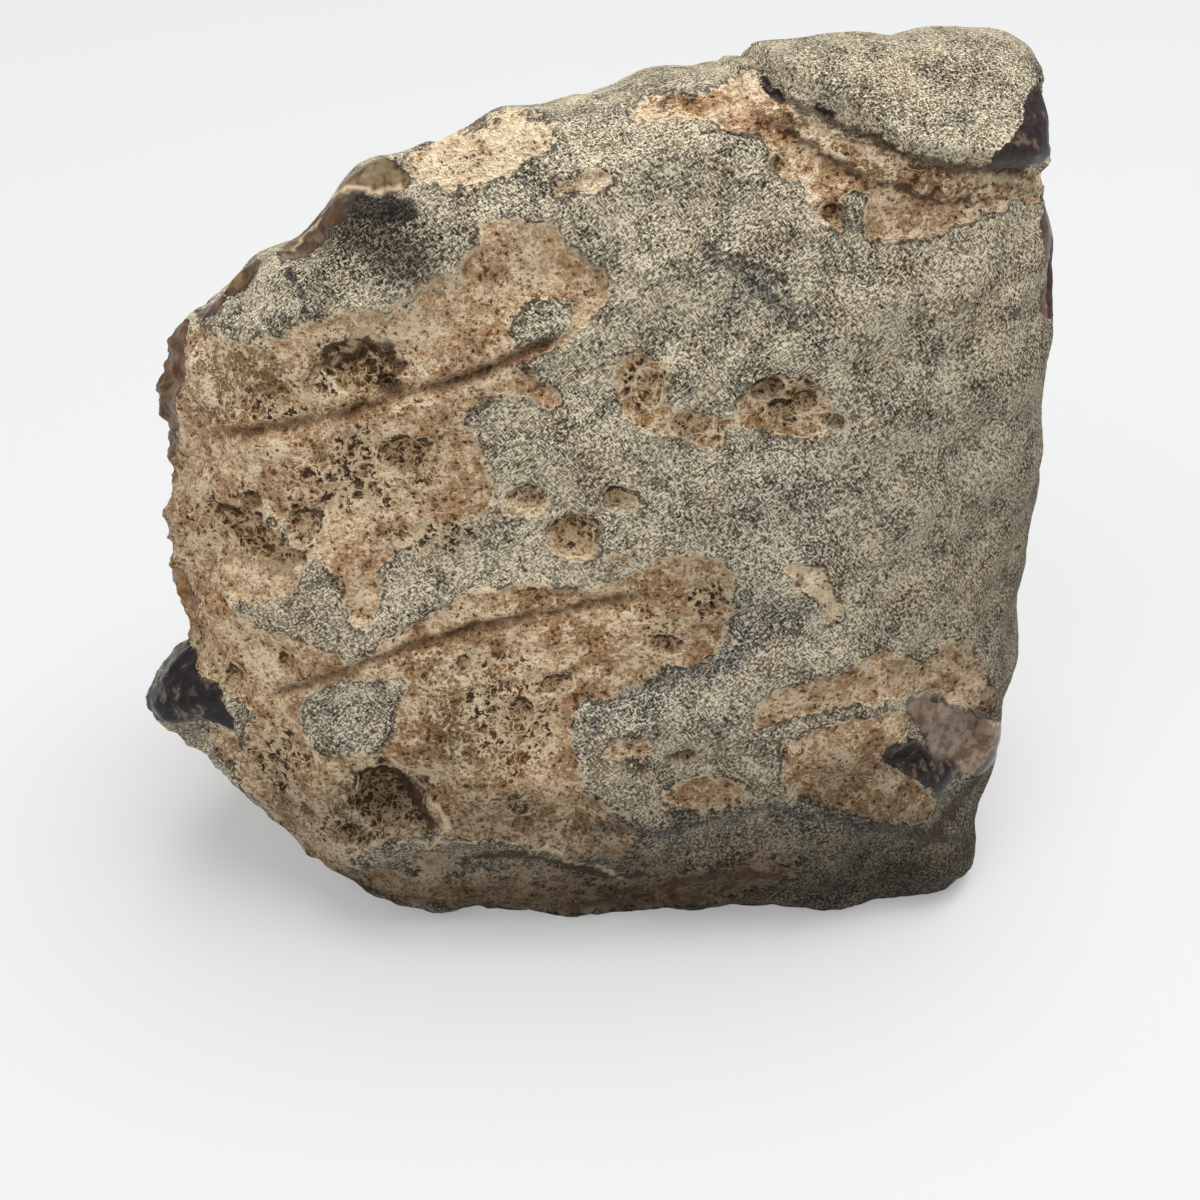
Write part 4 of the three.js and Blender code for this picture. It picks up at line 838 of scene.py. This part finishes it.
def rindFinish():
    s = Shader("agateRind")
    place = s.millimetres()
    patchy = s.noise(place, look["patchy"], 3, 0.6)
    rag = s.noise(place, look["rag"], 2, 0.65) - 0.5
    grainy = s.noise(place, look["grainy"], 1, 0.6)
    broad = s.noise(place, look["broad"])

    def lay(colour, weight, name):  # one of the look's colours over another
        return s.mix(weight, colour, rgba(*look[name]))

    # granular rind: fine crossing pale streaks with thin dark gaps
    slash, backslash = [s.streaks(place, angle, look["streakWidth"], long) for angle, long in look["streaks"]]
    light = (slash.larger(backslash) * 0.85 + grainy * 0.3 + (patchy - 0.5) * 0.25).ramp(0.6, 0.71)
    gap = (slash * 0.5 + backslash * 0.45 + grainy * 0.35 + (patchy - 0.5) * 0.3).ramp(0.59, 0.5)
    rindTint = s.tint("rindTint")
    rindMid = s.mix(patchy.ramp(0.38, 0.58) * 0.9, lay(rindTint, 0.45, "rindGrey"), rindTint)
    rindMid = lay(rindMid, broad.ramp(0.5, 0.66) * 0.35, "rindWarm")
    rindLight = lay(rindMid, 0.86, "rindPale")
    rindColour = s.mix(light, s.mix(gap, rindMid, s.times(rindMid, look["rindGaps"])), rindLight)

    # crumbly tan layer: mottled, with small dark pits and thin pale ridges
    mottle = s.noise(place, look["mottle"], 2, 0.75)
    crumb = s.noise(place, look["crumb"], 2, 0.75)
    tanTint = s.tint("tanTint")
    shadowed = broad.ramp(0.52, 0.4).larger(patchy.ramp(0.5, 0.36)) * 0.6
    tanTint = s.mix(shadowed, tanTint, s.times(tanTint, look["tanShadow"]))
    rubbed = mottle * 0.45 + crumb * 0.45 + broad * 0.2
    tanColour = s.mix(rubbed.ramp(0.51, 0.43), tanTint, s.times(tanTint, look["tanDark"]))
    tanColour = s.mix(rubbed.ramp(0.55, 0.61) * 0.95, tanColour, lay(tanTint, 0.75, "tanPale"))
    tanColour = lay(tanColour, (crumb + (patchy - 0.5) * 0.4).ramp(0.38, 0.34) * 0.85, "tanPits")
    wander = s.noise(place, look["wander"], 2, 0.65)
    thread = abs(wander - 0.5).ramp(0.022, 0.006) * broad.ramp(0.42, 0.55)

    # spongy places: open dark holes between crumbs, their darkness painted shade laid further down, with thin
    # pale walls
    sponge = s.value("sponge")
    pock = s.noise(place, look["pock"], 2, 0.6) * 0.6 + crumb * 0.4
    bent = s.noise(place, look["cellBendGrain"], 1, 0.7, 1)
    bent = s.vector("MULTIPLY_ADD", bent, look["cellBend"], place)
    cell = s.node("ShaderNodeTexVoronoi", {"feature": "DISTANCE_TO_EDGE"},
                  {"Vector": bent, "Scale": look["cellsPerMm"]})
    wall = cell.ramp(0.1, 0.02)
    hollow = (cell - (pock - 0.5) * 1.6 + rag * 0.2).ramp(0.2, 0.3)
    burrow = hollow.larger(pock.ramp(0.42, 0.39)) * sponge.ramp(0.2, 0.6)
    tanColour = lay(tanColour, (thread * 0.8).larger(wall * (sponge * 0.5 + 0.15)), "ridges")

    # both layers, with a thin painted shadow line under the edge where the rind has flaked
    tanEdge = s.value("tanEdge") + rag * 1.1 + (patchy - 0.5) * 0.9
    isTan = tanEdge.ramp(-0.07, 0.07)
    colour = s.mix(isTan, rindColour, tanColour)
    colour = lay(colour, abs(tanEdge + 0.18).ramp(0.16, 0.04) * patchy.ramp(0.62, 0.48) * 0.7, "paintedEdgeShadow")
    spongy = s.mix(broad.ramp(0.45, 0.55), rgba(*look["spongeDark"]), rgba(*look["spongePale"]))
    colour = s.mix(sponge * 0.3, colour, spongy)
    colour = lay(colour, wall * sponge.ramp(0.15, 0.7) * 0.8, "spongeWalls")

    # holes and pits: painted shade on dark floors, thin walls, painted shadow under the upper edge, painted
    # highlight on the lower wall, and a broken pale rim
    # painted shade darkening sponge hollows, holes and deep pit floors; the deeper a pit sinks, the darker
    hole = (s.value("hole") * 0.8 + rag * 0.5 - (crumb - 0.5) * 1.5).ramp(0.5, 0.7)
    deep = (s.value("sunk") * 0.4 + rag * 0.9 - (crumb - 0.5) * 1.6).ramp(0.6, 1.1)
    dark = burrow.larger(hole * 0.8).larger(deep * 0.8)
    colour = lay(colour, dark * 0.75, "paintedHoleShade")
    colour = lay(colour, dark * (pock * 0.6 + crumb * 0.4).ramp(0.52, 0.42) * 0.85, "paintedHoleCoreShade")
    inPit = (s.value("pitEdge") + rag * 0.6).ramp(0.05, -0.15)
    pitFloor = s.mix(crumb.ramp(0.42, 0.56), rgba(*look["pitDark"]), rgba(*look["pitPale"]))
    colour = s.mix(inPit * 0.4, colour, pitFloor)
    blotch = (pock * 0.7 + mottle * 0.3 - s.value("sunk") * 0.03).ramp(0.5, 0.4)
    colour = lay(colour, blotch * inPit * 0.6, "pitBlotches")
    colour = lay(colour, wall * inPit * 0.6, "pitWalls")
    # painted highlight on the lower walls of pits, and painted shadow under their upper edges
    eaves = s.value("eaves") + rag * 0.7 - (crumb - 0.5) * 1.4
    colour = lay(colour, eaves.ramp(-0.35, -0.7) * 0.3, "paintedPitHighlight")
    colour = lay(colour, eaves.ramp(0.15, 0.45) * 0.85, "eaves")
    # pale rims along the flaked edges; round the pits the pale rim is a painted highlight
    rim = abs(tanEdge - 0.08).ramp(0.16, 0.05) * patchy.ramp(0.42, 0.54)
    pitRim = abs(s.value("pitEdge") + rag * 0.5 - 0.1).ramp(0.13, 0.03) * patchy.ramp(0.44, 0.54)
    colour = lay(colour, (rim * 0.95).larger(pitRim * 0.85), "edge")

    groove = s.value("groove") + rag * 0.55
    colour = lay(colour, groove.ramp(0.05, 0.55) * 0.65, "grooveSides")
    colour = lay(colour, groove.ramp(0.6, 1.05) * 0.7, "grooveFloor")
    colour = lay(colour, (s.value("crackEdge") + rag * 0.12).ramp(0.1, 0) * 0.85, "cracks")
    colour = s.mix(1 - s.value("shade"), colour, s.times(colour, look["shade"]))

    # fresh glossy chips with a mottled painted sheen, and the soft painted lines over everything
    isChip = (s.value("chipEdge") + rag * 0.7 + (crumb - 0.5) * 0.5).ramp(-0.04, 0.04)
    chipTint = s.tint("chipTint")
    chipColour = s.mix(mottle.ramp(0.54, 0.4) * 0.8, chipTint, s.times(chipTint, look["chipDark"]))
    # pale mottling on the chips is a painted sheen
    chipColour = s.mix(mottle.ramp(0.54, 0.66) * 0.8, chipColour, lay(chipTint, 0.22, "paintedChipSheen"))
    colour = s.mix(isChip, colour, chipColour)
    colour = s.mix((s.value("painted") + rag * 0.6).ramp(0.15, 0.75) * 0.85, colour, s.tint("paint"))

    matte = 1 - isChip
    rindHeight = (slash + backslash) * 1.5
    tanHeight = mottle * 2.4 + crumb * 3.2
    height = rindHeight + (tanHeight - rindHeight) * isTan.larger(sponge)
    height = height * matte + mottle * isChip * 0.9
    bump = s.node("ShaderNodeBump", {}, {"Strength": 1, "Distance": look["bumpDistance"], "Height": height})
    return s.finish(s.node("ShaderNodeBsdfPrincipled", {}, {
        "Base Color": colour, "Roughness": matte * 0.4 + 0.4 + mottle * 0.12, "Coat Weight": isChip * 0.25,
        "Normal": bump, "Coat Roughness": 0.15, "IOR": 1.5, "Specular IOR Level": 0.2,
    }))


# the cut face behind: bands around a middle, sizes in millimetres
bandsLook = {
    "middle": (1, 0, 35), "spread": (36, 60, 34), "warp": 16, "cloud": 5, "perSpread": 16,
    "stops": [(0.25, rgba(48, 36, 30)), (0.4, rgba(84, 62, 50)), (0.5, rgba(128, 108, 94)),
              (0.58, rgba(70, 52, 44)), (0.72, rgba(150, 112, 74))],
    "cloudy": rgba(150, 140, 132),
}


def cutFinish():
    s = Shader("agateCutFace")
    place = s.millimetres()
    centred = s.node("ShaderNodeMapping", {"vector_type": "TEXTURE"},
                     {"Vector": place, "Location": bandsLook["middle"], "Scale": bandsLook["spread"]})
    warp = s.noise(place, bandsLook["warp"], 3)
    away = s.vector("LENGTH", centred, output=1) + (warp - 0.5) * 0.3
    bands = s.node("ShaderNodeTexNoise", {"noise_dimensions": "1D"},
                   {"W": away, "Scale": bandsLook["perSpread"], "Detail": 3, "Roughness": 0.7})
    colour = s.node("ShaderNodeValToRGB", {"stops": bandsLook["stops"]}, {0: bands})
    cloudy = s.noise(place, bandsLook["cloud"], 4)
    colour = s.mix(cloudy.ramp(0.45, 0.7) * 0.3, colour, bandsLook["cloudy"])
    return s.finish(s.node("ShaderNodeBsdfPrincipled", {}, {
        "Base Color": colour, "Roughness": cloudy * 0.12 + 0.1, "Coat Weight": 0.5, "Coat Roughness": 0.05,
        "IOR": 1.54,
    }))


print("stone: finish")
mesh.materials.append(rindFinish())
mesh.materials.append(cutFinish())
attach(agateStone, "root")
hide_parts("agate_stone")

# Table, light and camera
print("table, light and camera")
studio = {
    "table": 1.6,
    "tableColour": (0.4, 0.405, 0.405, 1),
    "tableGlow": 0.275,
    "white": (1, 1, 1, 1),
    "skyStrength": 0.42,
    # place, size, power, aim
    "lamps": [((0.16, 0.04, 1), 0.9, 11.5, (0, 0, 0.03)), ((-0.5, -0.6, 0.9), 0.8, 4, (0, 0, 0.03))],
    "camera": (0.0017, -0.1134, 0.11),
    "cameraTurn": 53.2,
    "lens": 48.57,
}
top = bmesh.new()
bmesh.ops.create_grid(top, x_segments=1, y_segments=1, size=studio["table"] / 2)
table = bpy.data.objects.new("table", bpy.data.meshes.new("table"))
top.to_mesh(table.data)
top.free()
bpy.context.scene.collection.objects.link(table)
tableShader = Shader("tableTop")
table.data.materials.append(tableShader.finish(tableShader.node("ShaderNodeBsdfPrincipled", {}, {
    "Base Color": studio["tableColour"], "Roughness": 0.7, "Emission Color": studio["white"],
    "Emission Strength": studio["tableGlow"]})))

world = bpy.data.worlds.new("studio")
world.use_nodes = True
background = world.node_tree.nodes["Background"]
background.inputs["Color"].default_value = studio["white"]
background.inputs["Strength"].default_value = studio["skyStrength"]
bpy.context.scene.world = world
for i, (place, size, power, aim) in enumerate(studio["lamps"]):
    lamp = bpy.data.lights.new(f"lamp{i}", "AREA")
    lamp.shape = "DISK"
    lamp.size = size
    lamp.energy = power
    holder = bpy.data.objects.new(f"lamp{i}", lamp)
    holder.location = place
    holder.rotation_euler = (Vector(aim) - Vector(place)).to_track_quat("-Z", "Y").to_euler()
    bpy.context.scene.collection.objects.link(holder)

lens = bpy.data.cameras.new("camera")
lens.lens = studio["lens"]
lens.sensor_width = 36
lens.clip_start = 0.005
camera = bpy.data.objects.new("camera", lens)
camera.location = studio["camera"]
camera.rotation_euler = (math.radians(studio["cameraTurn"]), 0, 0)
bpy.context.scene.collection.objects.link(camera)
bpy.context.scene.camera = camera
bpy.context.scene.view_settings.view_transform = "Standard"
